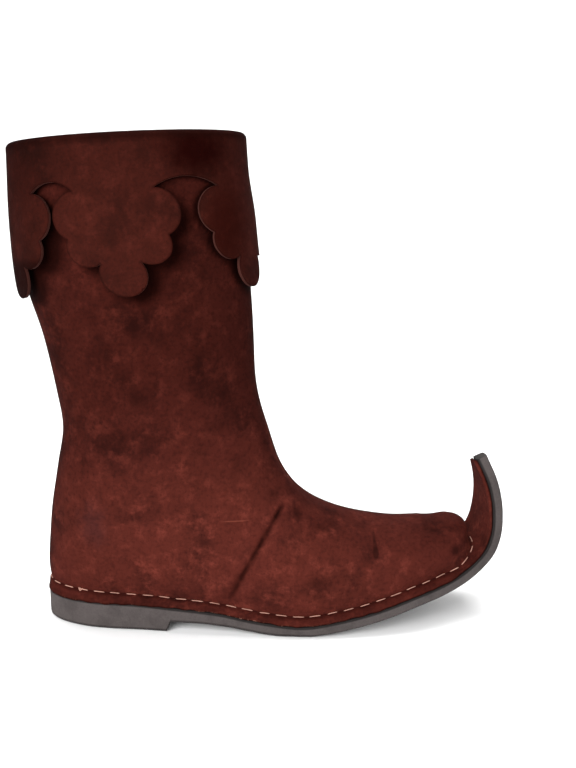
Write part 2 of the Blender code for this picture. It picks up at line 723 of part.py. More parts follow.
class CuffSheet:
    """The cuff as a flat strip along the collar, with the way to lay it over the collar's edge."""

    def __init__(self):
        self.turns = np.linspace(-1, 1, COLLAR_SAMPLES[0])
        rim = np.array([shaft_point(SHAFT_LAST, turn) for turn in self.turns])
        steps = np.linalg.norm(np.diff(rim, axis=0), axis=1)
        self.arcs = np.concatenate([[0.0], np.cumsum(steps)])
        self.girth = self.arcs[-1]
        rows = np.linspace(SHAFT_LAST, SHAFT_LAST - COLLAR_ROWS, COLLAR_SAMPLES[1])
        self.net = np.array([[shaft_point(row, turn) for row in rows] for turn in self.turns])
        self.fold = (LEATHER + CUFF_GAP + LIP_GAP) / 2
        self.over = math.pi * self.fold

    def outline(self):
        """The strip's lower edge, from the back round the outer side, as arc and depth."""
        edge = []
        across, depth, bulge = LOBES["across"], LOBES["depth"], LOBES["bulge"]
        counts = LOBES["steps"].astype(int)
        ends = list(CUFF_PENDANTS[1:]) + [CUFF_PENDANTS[0] + self.girth]
        for middle, following in zip(CUFF_PENDANTS, ends):
            down = [(middle - a, d) for a, d in zip(across, depth)]
            up = [(middle + a, d) for a, d in zip(across, depth)]
            stops = down + up[::-1]
            bulges = list(bulge) + list(bulge[-2::-1])
            steps = list(counts) + list(counts[-2::-1])
            edge.append(np.array(stops[0]))
            for start, end, out, count in zip(stops, stops[1:], bulges, steps):
                edge += arc(start, end, out, count)
            edge += arc(stops[-1], (following - across[0], depth[0]), -ARCH_RISE, ARCH_STEPS)[:-1]
        return edge

    def flare(self, turn):
        """How far a pendant's end stands off the shaft."""
        front = math.cos(math.pi * turn)
        side = CUFF_FLARE_SIDE * (1 - front**2)
        return side + (CUFF_FLARE_FRONT if front > 0 else CUFF_FLARE_BACK) * front**2

    def lay(self, along, depth):
        """Point of the strip's inner face, laid on the boot. Negative depths go over the edge and inside."""
        at = np.interp(along % self.girth, self.arcs, np.arange(len(self.turns)))
        turn = np.interp(at, np.arange(len(self.turns)), self.turns)
        first = min(int(at), len(self.turns) - 2)
        column = self.net[first] + (self.net[first + 1] - self.net[first]) * (at - first)
        down = np.concatenate([[0.0], np.cumsum(np.linalg.norm(np.diff(column, axis=0), axis=1))])
        ahead = self.net[first + 1, 0] - self.net[first, 0]
        outward = unit(np.array([ahead[1], -ahead[0], 0.0]))

        def on_wall(distance):
            return np.array([np.interp(distance, down, column[:, axis]) for axis in range(3)])

        if depth >= 0:
            lean = (min(depth, CUFF_LENGTH) / CUFF_LENGTH) ** CUFF_LEAN
            return on_wall(depth) + outward * (CUFF_GAP + lean * self.flare(turn))
        middle = on_wall(0.0) + outward * (CUFF_GAP - self.fold)
        if depth > -self.over:
            bend = -depth / self.fold
            return middle + self.fold * (outward * math.cos(bend) + np.array([0, 0, math.sin(bend)]))
        inside = -depth - self.over
        return on_wall(inside) + outward * (CUFF_GAP - 2 * self.fold)


def make_cuff(where):
    """The turned-down cuff: a flat pattern laid over the collar and given its thickness."""
    sheet = CuffSheet()
    columns = round(sheet.girth / CUFF_NET)
    edge = sheet.outline()
    starts = edge[0][0]
    seam = starts + sheet.girth
    top = -sheet.over - CUFF_LIP
    depths = list(np.linspace(-sheet.over, 0, CUFF_FOLD_STEPS + 1))
    points = [Vector(place) for place in edge]
    outline = list(range(len(points)))
    closing = [Vector((seam, edge[0][1]))]
    closing += [Vector((seam, depth)) for depth in reversed(depths)]
    top_row = [Vector((starts + (seam - starts) * i / columns, top)) for i in range(columns, -1, -1)]
    opening = [Vector((starts, depth)) for depth in depths]
    for place in closing + top_row + opening:
        outline.append(len(points))
        points.append(place)
    for depth in depths + list(np.arange(CUFF_DROP, CUFF_LENGTH, CUFF_DROP)):
        for i in range(1, columns):
            points.append(Vector((starts + (seam - starts) * i / columns, depth)))
    border = list(zip(outline, outline[1:] + outline[:1]))
    flat, _, faces, *_ = delaunay_2d_cdt(points, border, [], 1, 0.001)

    bm = bmesh.new()
    corners = add_points(bm, [sheet.lay(place.x, place.y) for place in flat])
    for face in faces:
        bm.faces.new([corners[i] for i in face])
    bmesh.ops.remove_doubles(bm, verts=bm.verts[:], dist=0.00002)
    bmesh.ops.recalc_face_normals(bm, faces=bm.faces[:])
    cuff = mesh_object("cuff", bm, where, "cuff_nubuck", 60)
    shell = cuff.modifiers.new("Wall", "SOLIDIFY")
    shell.thickness = CUFF_LEATHER * MM
    shell.offset = 1.0
    return cuff


def main():
    for old in list(bpy.data.objects):
        bpy.data.objects.remove(old)
    parts = collection(BOOT)
    cutters = collection("cutters")
    make_outsole(parts)
    make_insole(parts)
    make_upper(parts, cutters)
    make_tongue(parts)
    make_eyelets(parts)
    make_lace(parts, cutters)
    make_cuff(parts)


main()
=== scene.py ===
"""Dressed model of a right boot in worn nubuck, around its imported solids.

The boot has a lobed cuff turned down over the collar, lacing on its inner side, a margin stitched down on
a one-piece rubber sole, and a pointed toe curled up. Shapes are worked out in millimetres with x counted
from the back of the heel, as in the part's own source, and then moved to the frame's metres.
"""

import logging
import math
from contextlib import contextmanager
from dataclasses import dataclass, field
from enum import Enum, IntEnum
from typing import Iterable, Iterator, Mapping, Sequence

import bmesh
import bpy
import numpy as np
from bmesh.types import BMesh
from bpy.types import Material, Mesh, Node, NodeSocket, NodeTree, Object
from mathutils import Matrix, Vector
from mathutils.geometry import delaunay_2d_cdt


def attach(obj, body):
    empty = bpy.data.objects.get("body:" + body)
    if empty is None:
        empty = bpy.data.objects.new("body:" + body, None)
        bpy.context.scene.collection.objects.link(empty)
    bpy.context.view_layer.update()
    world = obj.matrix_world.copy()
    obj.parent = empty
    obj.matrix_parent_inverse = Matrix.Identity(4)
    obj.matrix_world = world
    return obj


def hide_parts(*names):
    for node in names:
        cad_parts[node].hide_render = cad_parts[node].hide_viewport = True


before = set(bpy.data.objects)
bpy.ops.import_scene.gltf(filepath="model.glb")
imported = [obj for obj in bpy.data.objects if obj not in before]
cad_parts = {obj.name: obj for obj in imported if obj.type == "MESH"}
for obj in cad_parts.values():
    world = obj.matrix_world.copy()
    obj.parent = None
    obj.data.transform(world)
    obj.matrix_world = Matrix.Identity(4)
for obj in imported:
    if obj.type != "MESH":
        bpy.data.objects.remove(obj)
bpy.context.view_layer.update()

LOG = logging.getLogger("boot")
MM = 0.001
HEEL_CENTRE = 40.0
BODY = "root"

Array = np.ndarray
Colour = tuple[float, float, float]
Place = tuple[float, float, float]


class Side(IntEnum):
    """Side of the foot: the outer one faces the camera."""

    OUTER = -1
    BOTH = 0
    INNER = 1


class Layer(IntEnum):
    """Material index of a leather piece's faces."""

    FACE = 0
    BACK = 1
    EDGE = 2


def srgb(*shown: float) -> Colour:
    """Linear colour of red, green and blue display values from 0 to 255."""
    shares = [value / 255 for value in shown]
    return tuple(s / 12.92 if s <= 0.04045 else ((s + 0.055) / 1.055) ** 2.4 for s in shares)


def metres(points: Array) -> Array:
    """Points of the boot's millimetres in the frame's metres."""
    return (np.asarray(points, float) - (HEEL_CENTRE, 0.0, 0.0)) * MM


def millimetres(points: Iterable[Sequence[float]]) -> Array:
    """Points of the frame's metres in the boot's millimetres."""
    return np.array(points) / MM + (HEEL_CENTRE, 0.0, 0.0)


def unit(vectors: Array) -> Array:
    """Vectors of length one."""
    return vectors / np.maximum(np.linalg.norm(vectors, axis=-1, keepdims=True), 1e-9)


def ease(low: float, high: float, at: Array) -> Array:
    """Smooth step from 0 at low to 1 at high."""
    share = np.clip((np.asarray(at, float) - low) / (high - low), 0.0, 1.0)
    return share * share * (3 - 2 * share)


def swell(at: Array, centre: float, width: float) -> Array:
    """Bell curve that is 1 at its centre."""
    return np.exp(-(((at - centre) / width) ** 2))


def lengths(path: Array) -> Array:
    """Distance along a path at each of its points."""
    return np.concatenate([[0.0], np.cumsum(np.linalg.norm(np.diff(path, axis=0), axis=1))])


def smooth(knots: Array, values: Array, at: Array, still: int | None = None) -> Array:
    """Cubic through values at knots, each slope taken from the neighbours.

    Args:
        knots: rising places of the values.
        values: value at each knot.
        at: places to work out.
        still: number of a knot whose slope is 0.

    Returns:
        The values at those places.
    """
    slope = np.gradient(values, knots)
    if still is not None:
        slope[still] = 0.0
    at = np.clip(at, knots[0], knots[-1])
    i = np.clip(np.searchsorted(knots, at, side="right") - 1, 0, len(knots) - 2)
    span = knots[i + 1] - knots[i]
    t = (at - knots[i]) / span
    rise = values[i + 1] - values[i]
    start = slope[i] * span - rise
    end = rise - slope[i + 1] * span
    return values[i] + t * rise + t * (1 - t) * (start * (1 - t) + end * t)


def chance(number: int, kind: int) -> float:
    """A fixed scatter value from 0 to 1."""
    return (math.sin(12.9898 * number + 78.233 * kind) * 43758.5453) % 1.0


def waver(points: Array, length: float) -> Array:
    """Slow unevenness over places.

    Args:
        points: the places.
        length: about how long a wave is.

    Returns:
        A value between -1 and 1 for each.
    """
    x, y, z = np.moveaxis(points / length * 2 * np.pi, -1, 0)
    first = np.sin(x + 1.3 * np.sin(0.7 * z + 0.4))
    second = np.sin(0.9 * z + 1.6 * np.sin(0.6 * x + 2.0))
    return (first + second + np.sin(0.8 * y + 0.5 * z)) / 3


def table(columns: str, rows: Sequence[Sequence[float]]) -> dict[str, Array]:
    """Rows as one array for each named column."""
    return {name: np.array(column, float) for name, column in zip(columns.split(), zip(*rows))}


SOLE = table(
    "x z turn lateral medial",
    (
        (0.0, 19.0, 0.0, 34.5, 33.5),
        (30.0, 19.0, 0.0, 34.5, 33.5),
        (60.0, 18.8, 0.0, 35.0, 32.5),
        (90.0, 17.2, 0.0, 38.6, 31.0),
        (120.0, 14.6, 0.0, 41.4, 32.5),
        (150.0, 9.6, 0.0, 44.6, 40.0),
        (180.0, 7.6, 0.0, 46.8, 45.0),
        (201.0, 11.0, 2.0, 45.8, 44.5),
        (224.0, 16.4, 5.0, 43.4, 41.0),
        (248.0, 23.6, 7.0, 39.5, 36.5),
        (266.0, 28.0, 9.0, 34.0, 32.5),
        (281.0, 32.6, 10.0, 28.0, 27.5),
        (292.0, 39.0, 10.0, 24.5, 24.5),
        (300.4, 47.0, 10.0, 22.0, 22.0),
        (304.6, 56.5, 10.0, 20.0, 20.0),
        (306.3, 68.0, 10.0, 17.5, 17.5),
        (306.0, 80.0, 10.0, 14.5, 14.5),
        (303.6, 92.5, 10.0, 10.5, 10.5),
        (300.4, 101.5, 10.0, 6.5, 6.5),
        (298.4, 106.5, 10.0, 4.5, 4.5),
    ),
)
UNDER = table(
    "x z",
    (
        (0.0, 0.0),
        (86.0, 0.0),
        (89.0, 6.6),
        (110.0, 6.2),
        (128.0, 4.6),
        (142.0, 2.4),
        (152.0, 0.8),
        (160.0, 0.0),
        (183.0, 0.0),
    ),
)
FOOT = table(
    "front_x front_y front_z base lateral medial rise",
    (
        (284.5, 9.0, 62.0, 266.0, 30.5, 29.0, 0.28),
        (264.0, 7.0, 65.6, 245.0, 37.2, 34.2, 0.28),
        (238.0, 5.0, 66.2, 220.0, 41.5, 38.5, 0.30),
        (205.0, 3.0, 72.8, 188.0, 45.5, 43.0, 0.30),
        (180.0, 2.0, 84.5, 158.0, 44.5, 41.0, 0.32),
        (163.0, 1.0, 105.0, 115.0, 40.5, 36.5, 0.36),
        (153.0, 0.5, 134.0, 62.0, 38.5, 37.0, 0.38),
        (147.5, 0.0, 154.0, 26.0, 39.5, 38.5, 0.45),
        (145.0, 0.0, 171.0, 2.0, 41.0, 40.0, 0.50),
    ),
)
SHAFT = table(
    "front_x front_z back_x back_z lateral medial rise",
    (
        (145.0, 171.0, 2.0, 26.8, 41.0, 40.0, 0.50),
        (144.6, 181.0, 0.9, 38.0, 41.5, 40.5, 0.50),
        (144.3, 191.0, 2.4, 58.0, 42.0, 41.0, 0.50),
        (144.0, 201.0, 5.4, 82.0, 43.0, 42.0, 0.50),
        (143.6, 211.0, 11.2, 111.0, 44.5, 43.5, 0.50),
        (143.0, 222.0, 14.7, 138.0, 46.0, 45.0, 0.50),
        (142.2, 236.0, 11.4, 162.0, 48.0, 47.0, 0.50),
        (141.0, 256.0, 4.8, 196.0, 50.0, 49.0, 0.50),
        (139.8, 280.0, -4.6, 230.0, 51.5, 50.5, 0.50),
        (138.6, 304.6, -9.2, 271.0, 52.5, 51.5, 0.50),
        (138.0, 322.0, -10.6, 314.5, 53.0, 52.0, 0.50),
    ),
)
FOOT_LAST = len(FOOT["base"]) - 1
SHAFT_LAST = len(SHAFT["back_x"]) - 1
COLLAR = FOOT_LAST + SHAFT_LAST
SHAFT["front_y"] = np.zeros(SHAFT_LAST + 1)
WALL = {
    name: np.concatenate([FOOT[name], SHAFT[name][1:]])
    for name in "front_x front_y front_z lateral medial rise".split()
}


@dataclass(frozen=True)
class SoleChart:
    """Places on the sole, counted along it, across it and above its top."""

    heel_round: float = 60.0
    forefoot_end: float = 183.0
    forefoot_thickness: float = 7.7
    slope_step: float = 0.5

    @property
    def run(self) -> Array:
        """Distance along the sole's top at each row of its table."""
        return np.concatenate([[0.0], np.cumsum(np.hypot(np.diff(SOLE["x"]), np.diff(SOLE["z"])))])

    @property
    def tip(self) -> float:
        """Distance along the sole to its tip."""
        return float(self.run[-1])

    @property
    def swing(self) -> Array:
        """Place of the centre line across the boot at each row of the table."""
        turn = np.radians(SOLE["turn"][1:] + SOLE["turn"][:-1]) / 2
        return np.concatenate([[0.0], np.cumsum(np.tan(turn) * np.diff(SOLE["x"]))])

    def centre(self, run: Array) -> Array:
        """Points on the centre line of the sole's top, at distances along it."""
        columns = (SOLE["x"], self.swing, SOLE["z"])
        return np.stack([smooth(self.run, values, run) for values in columns], axis=-1)

    def point(self, run: Array, across: Array, rise: Array) -> Array:
        """Points in the sole's own directions.

        Args:
            run: distances along the sole.
            across: distances across it, inwards positive.
            rise: heights above its top.

        Returns:
            A point for each.
        """
        run, across, rise = np.broadcast_arrays(*(np.asarray(v, float) for v in (run, across, rise)))
        turn = np.radians(smooth(self.run, SOLE["turn"], run))
        side = np.stack([-np.sin(turn), np.cos(turn), 0 * turn], axis=-1)
        return self.centre(run) + side * across[..., None] + self.up(run) * rise[..., None]

    def up(self, run: Array) -> Array:
        """Direction away from the sole's top.

        Args:
            run: distances along the sole.

        Returns:
            A vector of length one for each.
        """
        run = np.asarray(run, float)
        ahead = self.centre(run + self.slope_step) - self.centre(run - self.slope_step)
        pitch = np.arctan2(ahead[..., 2], ahead[..., 0])
        turn = np.radians(smooth(self.run, SOLE["turn"], run))
        lean = np.sin(pitch)
        return np.stack([-lean * np.cos(turn), -lean * np.sin(turn), np.cos(pitch)], axis=-1)

    def half(self, run: Array, side: Side, inset: float = 0.0, heel_inset: float = 0.0) -> Array:
        """Half width of the sole's outline.

        Args:
            run: distances along the sole.
            side: side of the foot.
            inset: how far the outline is drawn in at its sides.
            heel_inset: how far it is drawn in at the back of the heel.

        Returns:
            A width for each distance.
        """
        run = np.asarray(run, float)
        width = smooth(self.run, SOLE["lateral" if side is Side.OUTER else "medial"], run) - inset
        back = np.clip((self.heel_round - run) / (self.heel_round - heel_inset), 0.0, 1.0)
        return width * np.sqrt(1 - back**2)


SOLE_CHART = SoleChart()


@dataclass(frozen=True)
class Last:
    """Wall of the upper: a fan of sections from the toe to the collar, with the margin turned out below."""

    leather: float = 2.2
    margin: float = 5.0
    heel_margin: float = 2.0
    edge_inset: float = 0.4
    margin_gap: float = 0.5
    feather_rise: float = 5.6
    heel_lift: float = 2.4
    margin_slope: float = 8.0
    margin_power: float = 1.6
    toe_side: float = 272.0
    toe_front: float = 308.0
    tip_share: float = 1 / 12

    def column(self, values: Array, rows: Array, still: int | None = None) -> Array:
        """A table's column at rows between its own."""
        return smooth(np.arange(float(len(values))), values, rows, still)

    def groove_half(self, run: Array, side: Side) -> Array:
        """Half width of the stitched groove's outline."""
        return SOLE_CHART.half(run, side, self.margin, self.heel_margin)

    def groove_rise(self, run: Array) -> Array:
        """Height of the stitched groove above the sole, lifted round the heel."""
        return self.feather_rise + self.heel_lift * np.clip(1 - run / SOLE_CHART.heel_round, 0.0, 1.0) ** 2

    def base_run(self, rows: Array) -> Array:
        """Place along the sole of foot sections' bases, slowing down to the back of the heel."""
        return self.column(FOOT["base"], rows, FOOT_LAST)

    def wall(self, rows: Array, turns: Array) -> Array:
        """Points of the wall.

        Args:
            rows: rows counted from the toe to the collar.
            turns: -1 at the outer base, 0 at the front, 1 at the inner base.

        Returns:
            An array of rows by turns by 3.
        """
        rows = np.asarray(rows, float)
        at = {name: self.column(values, rows) for name, values in WALL.items()}
        front = np.stack([at["front_x"], at["front_y"], at["front_z"]], axis=-1)
        run = self.base_run(np.minimum(rows, FOOT_LAST))
        up_row = np.maximum(rows - FOOT_LAST, 0.0)
        back_x = self.column(SHAFT["back_x"], up_row, 0)
        back_z = self.column(SHAFT["back_z"], up_row, 0)
        back = np.stack([back_x, 0 * rows, back_z], axis=-1)
        on_foot = rows <= FOOT_LAST
        base = np.where(on_foot[:, None], SOLE_CHART.point(run, 0.0, self.groove_rise(run)), back)
        made = np.zeros((len(rows), len(turns), 3))
        for side in (Side.OUTER, Side.INNER):
            pick = turns < 0 if side is Side.OUTER else turns >= 0
            widest = at["lateral" if side is Side.OUTER else "medial"][:, None]
            ends = np.where(on_foot, self.groove_half(run, side), 0.0)[:, None]
            rise = at["rise"][:, None]
            low = np.arccos(np.clip(ends / widest, 0.0, 0.999))
            angle = np.pi / 2 - np.abs(turns[pick]) * (np.pi / 2 + low)
            along = np.where(
                angle >= 0, rise + (1 - rise) * np.sin(angle), rise * (1 + np.sin(angle) / np.sin(low))
            )
            points = base[:, None] + (front - base)[:, None] * along[..., None]
            points[..., 1] += side * widest * np.cos(angle)
            made[:, pick] = points
        return made

    def groove_side(self, runs: Array, side: Side) -> tuple[Array, Array]:
        """The stitched groove and the margin's outer edge along one side.

        Args:
            runs: distances along the sole.
            side: side of the foot.

        Returns:
            Places of the groove and of the edge, along and across the sole.
        """
        heel = SOLE_CHART.heel_round
        scale = (heel - self.edge_inset) / (heel - self.heel_margin)
        out = np.where(runs < heel, heel - (heel - runs) * scale, runs)
        groove = np.stack([runs, side * self.groove_half(runs, side)], axis=-1)
        reach = SOLE_CHART.half(out, side, self.edge_inset, self.edge_inset)
        return groove, np.stack([out, side * reach], axis=-1)

    def groove_toe(self, turns: Array) -> tuple[Array, Array]:
        """The same round the toe, where the margin spreads up the curl to the tip.

        Args:
            turns: -1 at the outer end of the toe, 0 at its front, 1 at the inner end.

        Returns:
            Places of the groove and of the edge, along and across the sole.
        """

        def half(run: Array, inset: float) -> Array:
            """Half width of the sole on each turn's own side."""
            outer, inner = (SOLE_CHART.half(run, side, inset) for side in (Side.OUTER, Side.INNER))
            return np.where(turns < 0, outer, inner)

        bend = turns * np.pi / 2
        run = self.toe_side + (self.toe_front - self.toe_side) * np.cos(bend)
        groove = np.stack([run, half(self.toe_side, self.margin) * np.sin(bend)], axis=-1)
        reach = np.clip((1 - np.abs(turns)) / (1 - self.tip_share), 0.0, 1.0)
        out = self.toe_side + (SOLE_CHART.tip - self.edge_inset - self.toe_side) * reach
        spread = np.sign(turns) * np.clip(np.abs(turns) / self.tip_share, 0.0, 1.0)
        return groove, np.stack([out, spread * half(out, self.edge_inset)], axis=-1)

    @property
    def margin_low(self) -> float:
        """Height of the margin's top at its edge."""
        return self.leather + self.margin_gap

    def margin_rise(self, run: Array, away: Array) -> Array:
        """Height of the margin's top above the sole, at distances from places along the groove."""
        near = np.clip(1 - away / self.margin_slope, 0, 1) ** self.margin_power
        return self.margin_low + (self.groove_rise(run) - self.margin_low) * near


LAST = Last()


@dataclass
class InnerWall:
    """The wall's inner side as a map from places seen from the side to points and directions."""

    first_row: float = 3.5
    rows: int = 600
    turns: int = 161
    nearest: int = 6

    def __post_init__(self) -> None:
        """Works out the sections once."""
        rows = np.linspace(self.first_row, COLLAR, self.rows)
        self.points = LAST.wall(rows, np.linspace(0.0, 1.0, self.turns))

    def point(self, x: float, z: float) -> Array:
        """Point of the wall at a place seen from the side.

        Args:
            x: place along the boot.
            z: height.

        Returns:
            The point, from the nearest ones of the sections.
        """
        near = np.linalg.norm(self.points[..., [0, 2]] - np.array([x, z]), axis=-1)
        weight = 1 / (near + 0.05) ** 4
        best = np.partition(near.ravel(), self.nearest)[self.nearest]
        weight = np.where(near <= best, weight, 0.0)
        y = float((self.points[..., 1] * weight).sum() / weight.sum())
        return np.array([x, y, z])

    def normal(self, x: float, z: float, reach: float = 4.0) -> Array:
        """Outward direction of the wall at a place seen from the side.

        Args:
            x: place along the boot.
            z: height.
            reach: how far round the place the slope is taken.

        Returns:
            A vector of length one.
        """
        forward = self.point(x + reach, z) - self.point(x - reach, z)
        upward = self.point(x, z + reach) - self.point(x, z - reach)
        return unit(np.cross(upward, forward))


# Meshes


def mesh_piece(
    name: str,
    points: Array,
    faces: Iterable[Sequence[int]],
    finishes: Sequence[Material],
    sharp: float = 50.0,
) -> Object:
    """An object of points in the boot's millimetres.

    Args:
        name: name of the piece.
        points: its points.
        faces: corners of each face.
        finishes: its materials in order.
        sharp: edges bent further than this many degrees are shaded sharp.

    Returns:
        The object, linked to the scene.
    """
    mesh = bpy.data.meshes.new(name)
    mesh.from_pydata([tuple(p) for p in metres(points)], [], [list(f) for f in faces])
    for finish in finishes:
        mesh.materials.append(finish)
    made = bpy.data.objects.new(name, mesh)
    bpy.context.scene.collection.objects.link(made)
    outward(mesh)
    mesh.shade_smooth()
    mesh.set_sharp_from_angle(angle=math.radians(sharp))
    return made


@contextmanager
def editing(mesh: Mesh) -> Iterator[BMesh]:
    """Opens a mesh for editing and writes it back.

    Args:
        mesh: the mesh.

    Yields:
        Its editable form.
    """
    bm = bmesh.new()
    bm.from_mesh(mesh)
    yield bm
    bm.to_mesh(mesh)
    bm.free()


def outward(mesh: Mesh) -> None:
    """Turns a mesh's faces to face out."""
    with editing(mesh) as bm:
        bmesh.ops.recalc_face_normals(bm, faces=bm.faces[:])


def weld(bm: BMesh, near: float) -> None:
    """Merges points nearer than a distance in metres, and turns the faces out."""
    bmesh.ops.remove_doubles(bm, verts=bm.verts[:], dist=near)
    bmesh.ops.recalc_face_normals(bm, faces=bm.faces[:])


def grid_faces(rows: int, columns: int, closed: bool = False) -> list[tuple[int, ...]]:
    """Quads of a grid of points.

    Args:
        rows: number of rows.
        columns: number of points in each.
        closed: whether each row is a ring.

    Returns:
        The corners of each face.
    """
    faces = []
    for r in range(rows - 1):
        for c in range(columns if closed else columns - 1):
            d = (c + 1) % columns
            faces.append((r * columns + c, r * columns + d, (r + 1) * columns + d, (r + 1) * columns + c))
    return faces


def loft_piece(
    name: str, sections: Array, finishes: Sequence[Material], sharp: float = 50.0
) -> Object:
    """A closed body through closed sections, with its ends filled.

    Args:
        name: name of the piece.
        sections: points of the sections, as many in each.
        finishes: its materials in order.
        sharp: edges bent further than this many degrees are shaded sharp.

    Returns:
        The object, linked to the scene.
    """
    rows, columns = sections.shape[:2]
    faces = grid_faces(rows, columns, closed=True)
    faces.append(tuple(range(columns)))
    faces.append(tuple(range((rows - 1) * columns, rows * columns)))
    return mesh_piece(name, sections.reshape(-1, 3), faces, finishes, sharp=sharp)


def tube_points(path: Array, radius: Array | float, sides: int) -> Array:
    """Rings of a round tube, carried along its path without twist.

    Args:
        path: points of its middle line.
        radius: its radius, the same all along or one for each point.
        sides: points in a ring.

    Returns:
        An array of rings by sides by 3.
    """
    ahead = unit(np.gradient(path, axis=0))
    skew = (0.31, 0.17, 0.93)
    across = unit(np.cross(ahead[0], skew))
    rings = []
    radii = np.broadcast_to(radius, len(path))
    angles = np.linspace(0, 2 * np.pi, sides, endpoint=False)
    for centre, way, reach in zip(path, ahead, radii):
        across = unit(across - way * (across @ way))
        other = np.cross(way, across)
        rings.append(centre + reach * (np.cos(angles)[:, None] * across + np.sin(angles)[:, None] * other))
    return np.array(rings)


@dataclass
class Tubes:
    """Points and faces of round tubes with closed ends, gathered in one mesh."""

    sides: int
    points: list[Sequence[float]] = field(default_factory=list)
    faces: list[tuple[int, ...]] = field(default_factory=list)

    def add(self, path: Array, radius: Array | float) -> None:
        """Adds one tube.

        Args:
            path: points of its middle line.
            radius: its radius, the same all along or one for each point.
        """
        first = len(self.points)
        last = first + (len(path) - 1) * self.sides
        self.points.extend(tube_points(path, radius, self.sides).reshape(-1, 3))
        rings = grid_faces(len(path), self.sides, closed=True)
        self.faces.extend(tuple(first + i for i in face) for face in rings)
        self.faces.append(tuple(range(first, first + self.sides)))
        self.faces.append(tuple(range(last, last + self.sides)))

    def piece(self, name: str, finishes: Sequence[Material]) -> Object:
        """The object of all of them."""
        return mesh_piece(name, np.array(self.points), self.faces, finishes)


def settle(made: Object) -> None:
    """Applies an object's modifiers to its mesh.

    Args:
        made: the object.
    """
    graph = bpy.context.evaluated_depsgraph_get()
    mesh = bpy.data.meshes.new_from_object(made.evaluated_get(graph))
    made.modifiers.clear()
    made.data = mesh


def paint(made: Object, name: str, values: Array) -> None:
    """Writes one value for each point into a named attribute."""
    layer = made.data.attributes.get(name) or made.data.attributes.new(name, "FLOAT", "POINT")
    layer.data.foreach_set("value", np.asarray(values, np.float32))


def painted(made: Object, name: str) -> Array:
    """Reads a named attribute.

    Args:
        made: the object.
        name: name of the attribute.

    Returns:
        The value at each point.
    """
    values = np.zeros(len(made.data.vertices), np.float32)
    made.data.attributes[name].data.foreach_get("value", values)
    return values


def seat(made: Object, nodes: Sequence[str]) -> None:
    """Puts a piece on the boot's body, in the place of its solids.

    Args:
        made: the piece.
        nodes: solids it stands for.
    """
    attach(made, BODY)
    if nodes:
        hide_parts(*nodes)
    LOG.info("%s: %d faces", made.name, len(made.data.polygons))


# Finishes


FLOAT, COLOUR, VECTOR = "NodeSocketFloat", "NodeSocketColor", "NodeSocketVector"


class Graph:
    """Small helper that adds nodes to a tree and links them."""

    def __init__(self, tree: NodeTree) -> None:
        """Takes the tree to add to."""
        self.tree = tree

    def feed(self, node: Node, socket: str | int, source: object) -> None:
        """Links a socket to another one, or sets its value.

        Args:
            node: the node that is fed.
            socket: name or number of its input.
            source: an output socket or a value.
        """
        target = node.inputs[socket]
        if isinstance(source, NodeSocket):
            self.tree.links.new(source, target)
        elif isinstance(source, tuple) and len(source) == 3 and target.type == "RGBA":
            target.default_value = (*source, 1.0)
        else:
            target.default_value = source

    def add(
        self, kind: str, output: str | int, fed: Mapping[str | int, object], **settings: object
    ) -> NodeSocket:
        """Adds a node.

        Args:
            kind: type of the node.
            output: name or number of the output to give back.
            fed: its inputs, each a value or another node's socket.
            settings: its properties.

        Returns:
            The output's socket.
        """
        node = self.tree.nodes.new(kind)
        for name, value in settings.items():
            setattr(node, name, value)
        for socket, source in fed.items():
            self.feed(node, socket, source)
        return node.outputs[output]

    def math(self, operation: str, first: object, second: object) -> NodeSocket:
        """A sum, product or the like of two values."""
        return self.add("ShaderNodeMath", 0, {0: first, 1: second}, operation=operation)

    def vector(self, operation: str, first: object, second: object) -> NodeSocket:
        """The same for vectors, with a value for a length."""
        output = "Value" if operation == "LENGTH" else "Vector"
        return self.add("ShaderNodeVectorMath", output, {0: first, 1: second}, operation=operation)

    def ramp(
        self, value: object, low: object, high: object, start: float = 0.0, end: float = 1.0
    ) -> NodeSocket:
        """A value between low and high carried smoothly to the range from start to end."""
        fed = {"Value": value, "From Min": low, "From Max": high, "To Min": start, "To Max": end}
        return self.add("ShaderNodeMapRange", "Result", fed, interpolation_type="SMOOTHSTEP")

    def mix(self, share: object, first: object, second: object, blend: str = "MIX") -> NodeSocket:
        """A mix of two colours, by the share of the second one."""
        # The node's inputs 6 and 7 are its two colours, and output 2 is their mix.
        settings = {"data_type": "RGBA", "blend_type": blend, "clamp_factor": True}
        return self.add("ShaderNodeMix", 2, {0: share, 6: first, 7: second}, **settings)

    def noise(
        self, place: object, scale: object, detail: float = 4.0, rough: float = 0.55
    ) -> NodeSocket:
        """A noise texture's value."""
        fed = {"Vector": place, "Scale": scale, "Detail": detail, "Roughness": rough}
        return self.add("ShaderNodeTexNoise", "Fac", fed)

    def group(self, tree: NodeTree, output: str, **values: object) -> NodeSocket:
        """An output of a node group, with spaces in its inputs' names written as underscores."""
        fed = {name.replace("_", " "): value for name, value in values.items()}
        return self.add("ShaderNodeGroup", output, fed, node_tree=tree)

    def place(self) -> NodeSocket:
        """Coordinates of the object itself."""
        return self.add("ShaderNodeTexCoord", "Object", {})

    def painted(self, name: str) -> NodeSocket:
        """Value of a point attribute."""
        return self.add("ShaderNodeAttribute", "Fac", {}, attribute_name=name)


